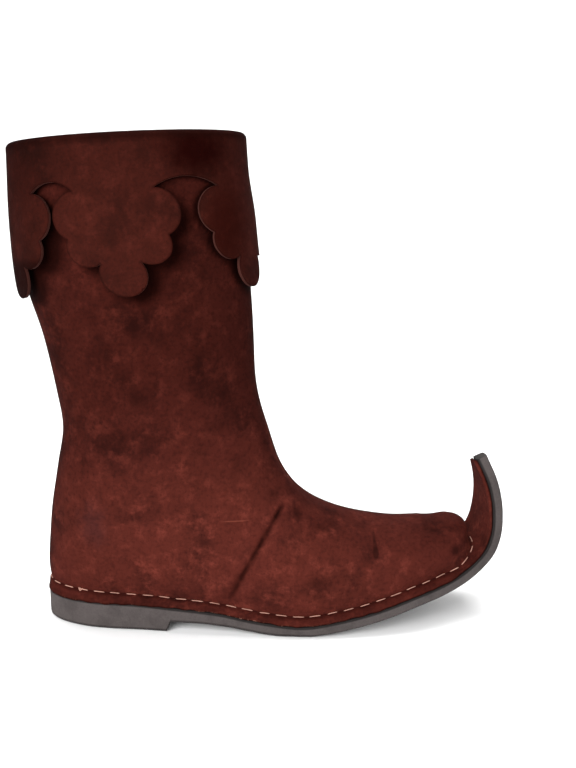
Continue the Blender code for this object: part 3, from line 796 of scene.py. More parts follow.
def new_group(
    name: str, inputs: dict[str, tuple[str, object]], outputs: dict[str, str]
) -> tuple[Graph, Mapping[str, NodeSocket], Node]:
    """An empty shader node group with named sockets.

    Args:
        name: name of the group.
        inputs: socket type and first value of each input.
        outputs: socket type of each output.

    Returns:
        A helper for its nodes, its inputs' sockets by name, and the node that takes its outputs.
    """
    tree = bpy.data.node_groups.new(name, "ShaderNodeTree")
    for label, (kind, value) in inputs.items():
        socket = tree.interface.new_socket(label, in_out="INPUT", socket_type=kind)
        socket.default_value = (*value, 1.0) if kind == COLOUR else value
    for label, kind in outputs.items():
        tree.interface.new_socket(label, in_out="OUTPUT", socket_type=kind)
    given = tree.nodes.new("NodeGroupInput")
    return Graph(tree), given.outputs, tree.nodes.new("NodeGroupOutput")


class Effects:
    """Shared surface effects, each one node group."""

    def __init__(self) -> None:
        """Builds every group once."""
        self.patina = self._patina()
        self.nap = self._nap()
        self.stain = self._stain()
        self.fleck = self._fleck()

    def _patina(self) -> NodeTree:
        """Cloudy wear: a base colour with darker and paler drifts, and dark specks.

        Returns:
            The group.
        """
        graph, inputs, outputs = new_group(
            "patina",
            {
                "Base": (COLOUR, (0.1, 0.1, 0.1)),
                "Dark": (COLOUR, (0.05, 0.05, 0.05)),
                "Pale": (COLOUR, (0.2, 0.2, 0.2)),
                "Cloud Scale": (FLOAT, 30.0),
                "Amount": (FLOAT, 0.6),
            },
            {"Colour": COLOUR},
        )
        place = graph.place()
        colour = inputs["Base"]
        for towards, finer, detail, rough, low, high, strength in (
            ("Dark", 1.0, 5.0, 0.60, 0.44, 0.72, 1.0),
            ("Pale", 3.7, 6.0, 0.65, 0.46, 0.76, 1.0),
            ("Dark", 16.0, 3.0, 0.60, 0.42, 0.70, 0.45),
        ):
            scale = graph.math("MULTIPLY", inputs["Cloud Scale"], finer)
            drift = graph.ramp(graph.noise(place, scale, detail, rough), low, high)
            amount = graph.math("MULTIPLY", inputs["Amount"], strength)
            colour = graph.mix(graph.math("MULTIPLY", drift, amount), colour, inputs[towards])
        graph.feed(outputs, "Colour", colour)
        return graph.tree

    def _nap(self) -> NodeTree:
        """Fine raised fibres with the brushed patches they lie in.

        Returns:
            The group.
        """
        graph, inputs, outputs = new_group(
            "nap",
            {"Fibre Scale": (FLOAT, 1400.0), "Brush Scale": (FLOAT, 160.0), "Rough": (FLOAT, 0.9)},
            {"Height": FLOAT, "Roughness": FLOAT},
        )
        place = graph.place()
        fibre = graph.noise(place, inputs["Fibre Scale"], 3.0, 0.7)
        brush = graph.noise(place, inputs["Brush Scale"], 5.0, 0.62)
        graph.feed(outputs, "Height", graph.math("ADD", graph.math("MULTIPLY", fibre, 0.45), brush))
        uneven = graph.math("MULTIPLY", graph.math("SUBTRACT", brush, 0.5), 0.25)
        graph.feed(outputs, "Roughness", graph.math("ADD", inputs["Rough"], uneven))
        return graph.tree

    def _stain(self) -> NodeTree:
        """A ragged patch of another colour round a place.

        Returns:
            The group.
        """
        graph, inputs, outputs = new_group(
            "stain",
            {
                "Colour": (COLOUR, (0.1, 0.1, 0.1)),
                "Stain": (COLOUR, (0.02, 0.02, 0.02)),
                "Centre": (VECTOR, (0.0, 0.0, 0.0)),
                "Reach": (VECTOR, (0.01, 0.01, 0.01)),
                "Strength": (FLOAT, 0.5),
                "Ragged": (FLOAT, 0.6),
                "Soft": (FLOAT, 0.7),
            },
            {"Colour": COLOUR},
        )
        place = graph.place()
        away = graph.vector("DIVIDE", graph.vector("SUBTRACT", place, inputs["Centre"]), inputs["Reach"])
        uneven = graph.math("SUBTRACT", graph.noise(place, 170.0, 5.0, 0.65), 0.5)
        ragged = graph.math("MULTIPLY", uneven, inputs["Ragged"])
        far = graph.math("ADD", graph.vector("LENGTH", away, (0.0, 0.0, 0.0)), ragged)
        inner = graph.math("SUBTRACT", 1.0, inputs["Soft"])
        mask = graph.math("MULTIPLY", graph.ramp(far, inner, 1.0, 1.0, 0.0), inputs["Strength"])
        graph.feed(outputs, "Colour", graph.mix(mask, inputs["Colour"], inputs["Stain"]))
        return graph.tree

    def _fleck(self) -> NodeTree:
        """Ragged pale fibres scattered over a surface.

        Returns:
            The group.
        """
        graph, inputs, outputs = new_group(
            "fleck",
            {
                "Colour": (COLOUR, (0.1, 0.1, 0.1)),
                "Fibre": (COLOUR, (0.3, 0.3, 0.3)),
                "Amount": (FLOAT, 0.0),
                "Scale": (FLOAT, 520.0),
            },
            {"Colour": COLOUR},
        )
        place = graph.place()
        fine = graph.ramp(graph.noise(place, inputs["Scale"], 4.0, 0.7), 0.50, 0.66)
        wide = graph.noise(place, graph.math("MULTIPLY", inputs["Scale"], 0.12), 2.0)
        mask = graph.math("MULTIPLY", fine, graph.ramp(wide, 0.44, 0.62))
        mask = graph.math("MULTIPLY", mask, inputs["Amount"])
        graph.feed(outputs, "Colour", graph.mix(mask, inputs["Colour"], inputs["Fibre"]))
        return graph.tree


EFFECTS = Effects()


def new_material(name: str) -> tuple[Material, Graph, Node]:
    """An empty material.

    Args:
        name: name of the material.

    Returns:
        The material, a helper for its nodes and its Principled shader.
    """
    made = bpy.data.materials.new(name)
    made.use_nodes = True
    return made, Graph(made.node_tree), made.node_tree.nodes["Principled BSDF"]


@dataclass(frozen=True)
class Finish:
    """A surface with drifts of colour and a fine bump: rubber, smooth leather, thread, cord or metal."""

    name: str
    base: Colour
    dark: Colour
    pale: Colour
    cloud_scale: float = 40.0
    amount: float = 0.5
    rough: float = 0.8
    fibre_scale: float = 900.0
    brush_scale: float = 120.0
    bump: float = 0.0003
    bump_strength: float = 0.5
    metallic: float = 0.0
    specular: float = 0.3

    def coloured(self, graph: Graph, drifts: NodeSocket) -> NodeSocket:
        """The drifts' colour, darkened by the point attribute shade."""
        return graph.mix(graph.painted("shade"), drifts, self.dark)

    def build(self) -> Material:
        """Makes the material.

        Returns:
            The material.
        """
        made, graph, shader = new_material(self.name)
        drifts = graph.group(
            EFFECTS.patina,
            "Colour",
            Base=self.base,
            Dark=self.dark,
            Pale=self.pale,
            Cloud_Scale=self.cloud_scale,
            Amount=self.amount,
        )
        graph.feed(shader, "Base Color", self.coloured(graph, drifts))
        scales = {"Fibre_Scale": self.fibre_scale, "Brush_Scale": self.brush_scale}
        height = graph.group(EFFECTS.nap, "Height", Rough=self.rough, **scales)
        graph.feed(shader, "Roughness", height.node.outputs["Roughness"])
        fed = {"Strength": self.bump_strength, "Distance": self.bump, "Height": height}
        graph.feed(shader, "Normal", graph.add("ShaderNodeBump", "Normal", fed))
        graph.feed(shader, "Metallic", self.metallic)
        graph.feed(shader, "Specular IOR Level", self.specular)
        return made


@dataclass(frozen=True)
class Stain:
    """A mark on the leather, in the boot's millimetres."""

    centre: Place
    reach: Place
    colour: Colour
    strength: float = 0.6
    ragged: float = 0.7
    soft: float = 0.7


@dataclass(frozen=True)
class NubuckFinish(Finish):
    """Brushed leather, mottled, stained and worn, with painted shade from its point attributes."""

    cloud_scale: float = 26.0
    amount: float = 0.7
    rough: float = 0.93
    fibre_scale: float = 1400.0
    brush_scale: float = 160.0
    bump: float = 0.0005
    bump_strength: float = 0.55
    specular: float = 0.02
    stains: tuple[Stain, ...] = ()
    shade: Colour = srgb(15, 2, 1)
    fibre: Colour = srgb(126, 84, 72)
    # Colour the dimmed zones are multiplied by, much of it painted shade.
    dim: Colour = (0.45, 0.41, 0.40)

    def coloured(self, graph: Graph, drifts: NodeSocket) -> NodeSocket:
        """The drifts' colour with the stains on it.

        One point attribute dims whole zones, much of it as painted shade, the attribute shade paints shade
        into creases, along edges and under the cuff, and fleck scatters pale fibres.

        Args:
            graph: helper for the material's nodes.
            drifts: socket of the drifts' colour.

        Returns:
            The colour's socket.
        """
        colour = drifts
        for stain in self.stains:
            colour = graph.group(
                EFFECTS.stain,
                "Colour",
                Colour=colour,
                Stain=stain.colour,
                Centre=tuple(metres(np.array(stain.centre))),
                Reach=tuple(np.array(stain.reach) * MM),
                Strength=stain.strength,
                Ragged=stain.ragged,
                Soft=stain.soft,
            )
        # Dimming by zone, much of it painted shade, then painted shade from the attribute shade.
        colour = graph.mix(graph.painted("tone_and_shade"), colour, self.dim, "MULTIPLY")
        colour = graph.mix(graph.painted("shade"), colour, self.shade)
        fibres = {"Fibre": self.fibre, "Amount": graph.painted("fleck")}
        return graph.group(EFFECTS.fleck, "Colour", Colour=colour, **fibres)


MARK = srgb(34, 11, 8)
SMOKE = srgb(52, 27, 27)
UPPER_STAINS = (
    Stain((158, -24, 91), (10, 18, 8), MARK, 0.6, 0.9, 0.9),
    Stain((125, -39, 32), (3, 9, 6), MARK, 0.35, 0.9, 0.9),
    Stain((225.6, -31, 53.2), (2.7, 9, 4.8), MARK, 0.75, 0.12, 0.5),
    Stain((225.3, -27.4, 57.0), (2.0, 9, 5.0), MARK, 0.55, 0.12, 0.5),
    Stain((225.0, -21.5, 61.5), (1.4, 9, 5.0), MARK, 0.50, 0.12, 0.5),
    Stain((281, -15.5, 49.5), (7, 12, 6.5), MARK, 0.9, 0.25, 0.8),
    Stain((239, -33, 29.5), (0.8, 4, 3.5), MARK, 0.4, 0.5),
    Stain((248, -29, 29.8), (0.8, 4, 3.5), MARK, 0.35, 0.5),
    Stain((133, -36.5, 77.2), (12, 6, 0.7), srgb(118, 62, 48), 0.35, 0.4),
    Stain((58, -41, 135), (16, 10, 6), MARK, 0.30, 1.3, 0.9),
    Stain((86, -41, 133), (15, 10, 5), MARK, 0.34, 1.3, 0.9),
    Stain((110, -35, 122), (10, 8, 5), MARK, 0.42, 1.1, 0.9),
    Stain((121, -31, 140), (9, 9, 7), MARK, 0.34, 1.1, 0.9),
    Stain((134, -28, 110), (7, 9, 12), MARK, 0.28, 1.1, 0.9),
    Stain((97, -41, 86), (9, 9, 9), MARK, 0.24, 1.2, 0.9),
    Stain((40, -36, 74), (17, 14, 22), SMOKE, 0.45, 1.1, 1.0),
    Stain((173, -24, 78), (5, 7, 6), MARK, 0.40, 1.0, 0.9),
    Stain((190, -24.5, 69), (13, 12, 5), MARK, 0.42, 1.1, 0.9),
    Stain((185, -44, 38), (15, 12, 4.5), MARK, 0.40, 1.1, 0.9),
    Stain((172, -40, 52), (14, 10, 6), MARK, 0.22, 1.2, 1.0),
    Stain((198, -43, 40), (14, 10, 4), MARK, 0.22, 1.2, 1.0),
    Stain((184, -45, 30), (8, 8, 3), MARK, 0.22, 1.2, 1.0),
    Stain((56, -46, 190), (5, 9, 7), MARK, 0.25, 1.0, 0.9),
    Stain((118, -44, 228), (14, 12, 16), MARK, 0.28, 1.1, 1.0),
)
# Dark patches over the cuff's upper front and its front pendant: stains in part, and in part painted shade on
# the side turned from the light.
CUFF_STAINS_AND_SHADE = (
    Stain((116, -48, 312), (34, 34, 22), srgb(24, 2, 1), 1.0, 0.6, 0.8),
    Stain((132, -36, 268), (24, 30, 40), srgb(34, 6, 3), 0.8, 0.6, 0.8),
)
NUBUCK = NubuckFinish(
    "nubuck", srgb(69, 28, 22), srgb(41, 15, 12), srgb(91, 40, 32), amount=0.95, stains=UPPER_STAINS
)
CUFF_NUBUCK = NubuckFinish(
    "cuff_nubuck",
    srgb(48, 17, 12),
    srgb(30, 10, 7),
    srgb(62, 24, 18),
    cloud_scale=30.0,
    amount=0.85,
    stains=CUFF_STAINS_AND_SHADE,
)
CUT_EDGE = Finish(
    "cut_edge", srgb(66, 36, 31), srgb(44, 21, 17), srgb(82, 50, 44), bump=0.0004, rough=0.9, specular=0.05
)
LINING = Finish("lining", srgb(132, 94, 80), srgb(98, 64, 52), srgb(154, 116, 98), rough=0.85)
RUBBER = Finish(
    "rubber",
    srgb(67, 61, 60),
    srgb(20, 17, 16),
    srgb(81, 75, 73),
    cloud_scale=60.0,
    amount=0.3,
    rough=0.85,
    specular=0.15,
)
INSOLE = Finish("insole_leather", srgb(150, 108, 82), srgb(92, 60, 44), srgb(172, 130, 102), rough=0.7)
GUSSET = Finish("gusset_leather", srgb(74, 30, 25), srgb(44, 16, 13), srgb(92, 42, 35), rough=0.9)
THREAD = Finish("thread", srgb(176, 130, 114), srgb(122, 82, 70), srgb(196, 154, 138), fibre_scale=2600.0)
CORD = Finish("lace_cord", srgb(62, 34, 28), srgb(36, 18, 15), srgb(84, 50, 42), fibre_scale=2200.0)
METAL = Finish(
    "eyelet_metal",
    srgb(200, 196, 186),
    srgb(140, 134, 124),
    srgb(226, 222, 214),
    cloud_scale=120.0,
    amount=0.35,
    rough=0.36,
    bump=0.00006,
    metallic=1.0,
    specular=0.5,
)


# Upper


@dataclass(frozen=True)
class Crease:
    """A soft trough with raised shoulders, along a line seen from the side, with shade painted into the
    trough.
    """

    line: tuple[tuple[float, float], ...]
    side: Side
    depth: float
    width: float
    ridge: float = 0.0
    # How strongly shade is painted into the trough's bottom.
    dark: float = 0.0
    shoulder_place: float = 2.4
    shoulder_width: float = 1.3
    shade_width: float = 1.1

    def away(self, points: Array) -> Array:
        """Distance of points from the line, seen from the side.

        Args:
            points: the points.

        Returns:
            A distance for each.
        """
        flat = points[..., [0, 2]]
        best = np.full(flat.shape[:-1], np.inf)
        for start, end in zip(self.line, self.line[1:]):
            first, way = np.array(start), np.array(end) - np.array(start)
            share = np.clip(((flat - first) @ way) / (way @ way), 0, 1)
            best = np.minimum(best, np.linalg.norm(flat - first - share[..., None] * way, axis=-1))
        return best

    def push(self, points: Array) -> Array:
        """How far the crease moves the wall out.

        Args:
            points: points of the wall.

        Returns:
            A distance for each, negative in the trough.
        """
        away = self.away(points)
        trough = -self.depth * swell(away, 0.0, self.width)
        shoulder = swell(away, self.shoulder_place * self.width, self.shoulder_width * self.width)
        return (trough + self.ridge * shoulder) * self.within(points)

    def shade(self, points: Array) -> Array:
        """Painted shade at the trough's bottom: how dark it is at points."""
        near = swell(self.away(points), 0.0, self.shade_width * self.width)
        return self.dark * near * (0.85 + 0.3 * waver(points, 12.0)) * self.within(points)

    def within(self, points: Array) -> Array:
        """1 on the crease's own side, and 0 on the other one."""
        return ease(2.0, 9.0, self.side * points[..., 1]) if self.side else np.ones(points.shape[:-1])


CREASES = (
    Crease(
        ((162.6, 83.4), (157.4, 75.4), (150.0, 63.6), (141.4, 48.6), (134.6, 35.6), (129.6, 25.6)),
        Side.OUTER,
        1.0,
        1.75,
        0.4,
        0.85,
    ),
    Crease(((134, 40), (128, 30), (124.5, 25.5)), Side.OUTER, 0.5, 1.7, 0.2, 0.25),
    Crease(((280, 63), (290, 59)), Side.BOTH, -4.0, 9.0),
    Crease(((262, 62.6), (274, 60.8), (285, 58.6)), Side.BOTH, 0.4, 1.4, 0.2, 0.4),
    Crease(((172, 81), (175, 76)), Side.OUTER, 0.6, 1.9, 0.2, 0.3),
    Crease(((186, 68), (199, 69)), Side.OUTER, 0.5, 2.4, 0.2, 0.12),
    Crease(((178, 62), (172, 46)), Side.OUTER, 0.6, 6.0, 0.3),
    Crease(((152, 92), (140, 70), (126, 50)), Side.OUTER, 0.7, 8.0, 0.3),
    Crease(((24, 128), (60, 133), (98, 130)), Side.OUTER, 0.9, 9.0, 0.4),
    Crease(((112, 120), (130, 140)), Side.OUTER, 0.6, 6.0, 0.3),
    Crease(((40, 180), (84, 196), (120, 190)), Side.OUTER, 0.9, 16.0),
    Crease(((164, 84), (156, 70), (146, 52), (138, 36)), Side.INNER, 1.1, 1.4, 0.45, 0.6),
    Crease(((176, 66), (170, 44)), Side.INNER, 0.7, 6.0, 0.3),
    Crease(((20, 126), (40, 134)), Side.INNER, 0.9, 8.0, 0.4),
)


@dataclass
class Stitching:
    """Thread along the groove: runs of one stitch length with a short gap between."""

    pitch: float = 11.3
    length: float = 8.6
    radius: float = 0.28
    share: float = 0.10
    lift: float = 0.2
    arch: float = 1.5
    bedded: float = 0.8
    end_radius: float = 0.35
    shorter: float = 1.8
    drift: float = 0.9
    tilt: float = 0.7
    stray: float = 0.3
    rings: int = 9
    sides: int = 8
    knots: tuple[Place, ...] = ((36.0, -2.2, 0.8), (38.4, 1.6, -1.0), (37.2, -1.6, 2.0))
    knot_length: float = 1.2

    def phase(self, arc: Array) -> Array:
        """Place within a stitch's pitch, from 0 to 1."""
        return (arc / self.pitch) % 1.0

    def build(self, line: Array, up: Array, finish: Material) -> None:
        """Makes every stitch, and the knotted ends, as one piece.

        Args:
            line: points round the boot where the thread lies.
            up: direction out of the leather at each.
            finish: the thread's material.
        """
        arc = lengths(line)
        side = unit(np.cross(np.gradient(line, axis=0), up))
        share = np.linspace(0, 1, self.rings)
        lift = self.lift + self.radius * self.arch * (np.sin(np.pi * share) ** 0.5 - self.bedded)
        swollen = np.sin(np.pi * np.clip(share, 0.02, 0.98)) * 3
        radius = self.radius * np.clip(swollen, self.end_radius, 1.0)
        thread = Tubes(self.sides)

        def carried(values: Array, at: Array) -> Array:
            """Values of the line at distances along it."""
            return np.stack([np.interp(at, arc, values[:, k]) for k in range(3)], axis=-1)

        def lay(at: Array, across: Array) -> None:
            """Adds one length of thread over places along and across the line."""
            raised = carried(line, at) + unit(carried(up, at)) * lift[:, None]
            thread.add(raised + unit(carried(side, at)) * across[:, None], radius)

        for number in range(int(arc[-1] // self.pitch)):
            length = self.length - self.shorter * chance(number, 1)
            start = number * self.pitch + 0.5 * (self.pitch - length) + self.drift * (chance(number, 2) - 0.5)
            tilt = self.tilt * (chance(number, 3) - 0.5)
            stray = self.stray * (chance(number, 4) - 0.5)
            lay(start + share * length, tilt * (share - 0.5) + stray)
        for place, first, last in self.knots:
            lay(place + self.knot_length * (share - 0.5), first + (last - first) * share)
        seat(thread.piece("margin_stitches", [finish]), [])


@dataclass
class Lacing:
    """Slit, eyelets, gusset and lace on the inner side."""

    slit_bottom: tuple[float, float] = (90.5, 66.0)
    slit_top: tuple[float, float] = (60.0, 240.0)
    slit_bottom_half: float = 1.0
    slit_top_half: float = 3.6
    slit_cut: tuple[float, float] = (15.0, 80.0)
    pairs: int = 6
    first_z: float = 80.0
    pitch: float = 24.0
    out: float = 12.5
    bore: float = 2.1
    barrel: float = 2.9
    flange: float = 4.0
    flange_low: float = 0.3
    proud: float = 1.2
    eyelet_sides: int = 28
    hole_gap: float = 0.3
    hole_reach: float = 9.0
    hole_sides: int = 24
    lace_radius: float = 1.2
    lace_gap: float = 0.35
    lace_inset: float = 0.75
    lace_sunk: float = 1.6
    lace_bend: float = 3.4
    lace_over: float = 2.1
    lace_hump: float = 0.13
    lace_steps: int = 29
    lace_sides: int = 12
    tongue_half: float = 21.0
    tongue_span: tuple[float, float] = (62.0, 252.0)
    tongue_thickness: float = 1.6
    tongue_gap: float = 0.9
    tongue_reach: float = 8.0
    tongue_rows: int = 64
    tongue_columns: int = 17
    wall: InnerWall = field(default_factory=InnerWall)

    @property
    def forward(self) -> Array:
        """Direction across the slit, seen from the side."""
        along = unit(np.array(self.slit_top) - np.array(self.slit_bottom))
        return np.array([along[1], -along[0]])

    def middle(self, z: float) -> float:
        """Middle of the slit at a height."""
        share = (z - self.slit_bottom[1]) / (self.slit_top[1] - self.slit_bottom[1])
        return self.slit_bottom[0] + share * (self.slit_top[0] - self.slit_bottom[0])

    def places(self) -> dict[str, Array]:
        """Eyelets' places.

        Returns:
            Each eyelet's name with its place seen from the side.
        """
        found = {}
        for pair in range(self.pairs):
            z = self.first_z + pair * self.pitch
            centre = np.array([self.middle(z), z])
            found[f"eyelet_front_{pair + 1}"] = centre + self.forward * self.out
            found[f"eyelet_rear_{pair + 1}"] = centre - self.forward * self.out
        return found

    def cutter(self) -> Object:
        """One cutter for the slit and every hole.

        Returns:
            The cutter, hidden in renders.
        """
        bottom, top = np.array(self.slit_bottom), np.array(self.slit_top)
        outline = [
            bottom - self.forward * self.slit_bottom_half,
            bottom + self.forward * self.slit_bottom_half,
            top + self.forward * self.slit_top_half,
            top - self.forward * self.slit_top_half,
        ]
        points = [(x, y, z) for y in self.slit_cut for x, z in outline]
        faces = [(0, 1, 2, 3), (7, 6, 5, 4)] + [(i, i + 4, (i + 1) % 4 + 4, (i + 1) % 4) for i in range(4)]
        holes = Tubes(self.hole_sides, points, faces)
        through = np.array([[-self.hole_reach], [self.hole_reach]])
        for x, z in self.places().values():
            path = self.wall.point(x, z) + self.wall.normal(x, z) * through
            holes.add(path, self.barrel + self.hole_gap)
        made = holes.piece("lacing_cutter", [])
        made.hide_render = True
        return made

    def build(self) -> None:
        """Makes the eyelets, the gusset and the lace."""
        self.eyelets()
        self.tongue()
        self.lace()

    def eyelets(self) -> None:
        """Turned metal eyelets with a rounded flange outside and a rolled edge inside."""
        finish = METAL.build()
        low, high = self.flange_low, self.proud
        profile = np.array(
            [
                (self.bore, -LAST.leather - 0.4),
                (self.bore + 0.35, -LAST.leather - 0.75),
                (self.barrel, -LAST.leather - 0.55),
                (self.barrel, low),
                (self.flange - 0.15, low),
                (self.flange, low + 0.25),
                (self.flange - 0.25, low + 0.6),
                (self.flange - 0.8, high - 0.02),
                (self.bore + 0.75, high),
                (self.bore + 0.25, high - 0.15),
                (self.bore, high - 0.55),
            ]
        )
        count = len(profile)
        angles = np.linspace(0, 2 * np.pi, self.eyelet_sides, endpoint=False)
        faces = []
        for s in range(self.eyelet_sides):
            t = (s + 1) % self.eyelet_sides
            for p in range(count):
                q = (p + 1) % count
                faces.append((s * count + p, s * count + q, t * count + q, t * count + p))
        for name, (x, z) in self.places().items():
            way, centre = self.wall.normal(x, z), self.wall.point(x, z)
            across = unit(np.cross(way, [0.0, 0.0, 1.0]))
            upward = np.cross(across, way)
            spokes = np.cos(angles)[:, None] * across + np.sin(angles)[:, None] * upward
            rings = centre + spokes[:, None] * profile[None, :, :1] + way * profile[None, :, 1:]
            made = mesh_piece(name + "_ring", rings.reshape(-1, 3), faces, [finish])
            seat(made, [name])

    def tongue(self) -> None:
        """Gusset leaf behind the slit."""
        outer, inner = [], []
        for z in np.linspace(*self.tongue_span, self.tongue_rows):
            for share in np.linspace(-1, 1, self.tongue_columns):
                x = self.middle(z) + share * self.tongue_half
                point, way = self.wall.point(x, z), self.wall.normal(x, z, self.tongue_reach)
                outer.append(point - way * (LAST.leather + self.tongue_gap))
                inner.append(point - way * (LAST.leather + self.tongue_gap + self.tongue_thickness))
        shape = (self.tongue_rows, self.tongue_columns, 3)
        front, back = np.array(outer).reshape(shape), np.array(inner).reshape(shape)
        sections = np.concatenate([front, back[:, ::-1]], axis=1)
        seat(loft_piece("gusset_leaf", sections, [GUSSET.build()]), ["tongue"])

    def lace(self) -> None:
        """Round lace crossing over the slit and running down into the eyelets."""
        places = self.places()
        cord = Tubes(self.lace_sides)
        for pair in range(1, self.pairs):
            under = places[f"eyelet_front_{pair}"], places[f"eyelet_rear_{pair + 1}"]
            over = places[f"eyelet_rear_{pair}"], places[f"eyelet_front_{pair + 1}"]
            cord.add(self.crossing(*under, 0.0), self.lace_radius)
            cord.add(self.crossing(*over, self.lace_over * self.lace_radius), self.lace_radius)
        seat(cord.piece("side_lace", [CORD.build()]), ["lace"])

    def crossing(self, start: Array, end: Array, over: float) -> Array:
        """One length of the lace between two eyelets.

        Args:
            start: place of the first eyelet, seen from the side.
            end: place of the second one.
            over: how far it is lifted over the other lace in the middle.

        Returns:
            Points of its middle line.
        """
        way = unit(end - start)
        height = self.proud + self.lace_gap + self.lace_radius
        path = []
        for share in np.linspace(0, 1, self.lace_steps):
            at = start + way * self.lace_inset + (end - start - way * 2 * self.lace_inset) * share
            near = min(share, 1 - share) * np.linalg.norm(end - start)
            rise = (height + self.lace_sunk) * float(ease(0.0, self.lace_bend, near)) - self.lace_sunk
            rise += over * float(swell(share, 0.5, self.lace_hump))
            path.append(self.wall.point(*at) + self.wall.normal(*at) * rise)
        return np.array(path)


@dataclass
class Cuff:
    """Leather strip folded over the collar, hanging outside in lobed pendants."""

    leather: float = 2.0
    pendants: tuple[float, ...] = (24.0, 99.5, 185.5, 265.0, 345.0)
    lip: float = 12.0
    flare_back: float = 4.5
    flare_side: float = 6.0
    flare_front: float = 3.5
    length: float = 93.5
    gap: float = 0.55
    lip_gap: float = 0.95
    lean: float = 1.2
    curl: float = 2.4
    net: float = 3.2
    fold_steps: int = 10
    arch_rise: float = 6.0
    lobes: tuple[tuple[float, float, float, int], ...] = (
        (23.5, 29.5, 11.0, 20),
        (29.0, 57.5, 8.5, 16),
        (11.5, 73.0, 20.5, 30),
    )
    arch_steps: int = 18
    edge_round: float = 0.35
    sharp: float = 60.0
    weld: float = 0.00002
    wall_turns: int = 241
    wall_rows: int = 121
    wall_reach: float = 6.0
    shadow_below: float = 25.0
    shadow_edge: tuple[float, float] = (-2.2, 0.5)
    cast_edge: tuple[float, float] = (-7.0, 1.8)
    cast_shift: tuple[float, float] = (5.5, 3.0)
    cast_depth: tuple[float, float] = (30.0, 50.0)

    def __post_init__(self) -> None:
        """Works out the collar and the columns of the wall below it."""
        self.turns = np.linspace(-1, 1, self.wall_turns)
        rows = np.linspace(COLLAR, COLLAR - self.wall_reach, self.wall_rows)
        self.columns = LAST.wall(rows, self.turns).transpose(1, 0, 2)
        self.arcs = lengths(self.columns[:, 0])
        self.girth = float(self.arcs[-1])
        self.fold = (LAST.leather + self.gap + self.lip_gap) / 2
        self.over = math.pi * self.fold

    def arc(self, start: Sequence[float], end: Sequence[float], bulge: float, steps: int) -> list[Array]:
        """Points along an arc.

        Args:
            start: where it starts, as arc and depth.
            end: where it ends.
            bulge: how far it stands out from its chord, leftwards for a positive one.
            steps: number of points.

        Returns:
            The points after the start.
        """
        first, last = np.array(start, float), np.array(end, float)
        chord = last - first
        half = float(np.linalg.norm(chord)) / 2
        side = math.copysign(1.0, bulge)
        radius = (half**2 + bulge**2) / (2 * abs(bulge))
        left = side * np.array([-chord[1], chord[0]]) / (2 * half)
        centre = (first + last) / 2 + left * (abs(bulge) - radius)
        sweep = 2 * math.atan2(half, radius - abs(bulge))
        x, y = first - centre
        points = []
        for step in range(1, steps + 1):
            angle = -side * sweep * step / steps
            cos, sin = math.cos(angle), math.sin(angle)
            points.append(centre + np.array([x * cos - y * sin, x * sin + y * cos]))
        return points

    def outline(self) -> list[Array]:
        """The strip's lower edge, from the back round the outer side.

        Returns:
            Its points as arc and depth.
        """
        edge: list[Array] = []
        bends = [(bulge, steps) for _, _, bulge, steps in (*self.lobes, *self.lobes[-2::-1])]
        following = (*self.pendants[1:], self.pendants[0] + self.girth)
        for middle, after in zip(self.pendants, following):
            stops = [(middle - across, depth) for across, depth, _, _ in self.lobes]
            stops += [(middle + across, depth) for across, depth, _, _ in reversed(self.lobes)]
            edge.append(np.array(stops[0]))
            for start, end, (bulge, steps) in zip(stops, stops[1:], bends):
                edge += self.arc(start, end, bulge, steps)
            across, depth, _, _ = self.lobes[0]
            edge += self.arc(stops[-1], (after - across, depth), -self.arch_rise, self.arch_steps)[:-1]
        return edge

    def flare(self, turn: float) -> float:
        """How far a pendant's end stands off the shaft.

        Args:
            turn: place round the shaft, 0 at the front.

        Returns:
            The distance.
        """
        front = np.cos(np.pi * turn)
        side = self.flare_side * (1 - front**2)
        return float(side + (self.flare_front if front > 0 else self.flare_back) * front**2)

    def inset(self, along: Array, depth: Array) -> Array:
        """Distance of places inside the strip's lower edge.

        Args:
            along: places along the collar.
            depth: depths below it.

        Returns:
            A distance for each, negative past the edge.
        """
        edge = np.array(self.outline())
        around = [edge + (turn * self.girth, 0.0) for turn in (-1, 0, 1)]
        ring = np.concatenate([*around, edge[:1] + (2 * self.girth, 0.0)])
        inside = np.zeros(along.shape, bool)
        near = np.full(along.shape, np.inf)
        for (x0, y0), (x1, y1) in zip(ring, ring[1:]):
            if x0 != x1:
                below = y0 + (y1 - y0) * (along - x0) / (x1 - x0) > depth
                inside ^= ((x0 <= along) != (x1 <= along)) & below
            near = np.minimum(near, np.hypot(along - x0, depth - y0))
        return np.where(inside, near, -near)

    def shadow(self, along: Array, depth: Array) -> Array:
        """How dark the shaft is along the strip's edge, and below and behind its lobes.

        Args:
            along: places along the collar.
            depth: depths below it.

        Returns:
            A share from 0 to 1 for each.
        """
        shade = np.zeros(along.shape)
        near = (depth < self.length + self.shadow_below) & (along > 3.0)
        x, y = along[near], depth[near]
        beside = ease(*self.shadow_edge, self.inset(x + 1.5, y))
        below = ease(*self.shadow_edge, self.inset(x, y - 0.6))
        behind, down = self.cast_shift
        cast = ease(*self.cast_edge, self.inset(x - behind, y - down)) * ease(*self.cast_depth, y)
        shade[near] = np.maximum(0.85 * np.maximum(beside, below), 0.9 * cast)
        return shade

    def border(self, edge: list[Array], inset: float = 1.3) -> list[Array]:
        """Points a little inside the strip's lower edge, which hold the painted shade along it.

        Args:
            edge: the lower edge.
            inset: how far inside it they are.

        Returns:
            Places as arc and depth.
        """
        places = np.array(edge)
        way = unit(np.roll(places, -1, axis=0) - np.roll(places, 1, axis=0))
        inner = places + inset * np.stack([way[:, 1], -way[:, 0]], axis=1)
        keep = self.inset(*inner.T) > 0.8 * inset
        return list(inner[1:-1][keep[1:-1]])

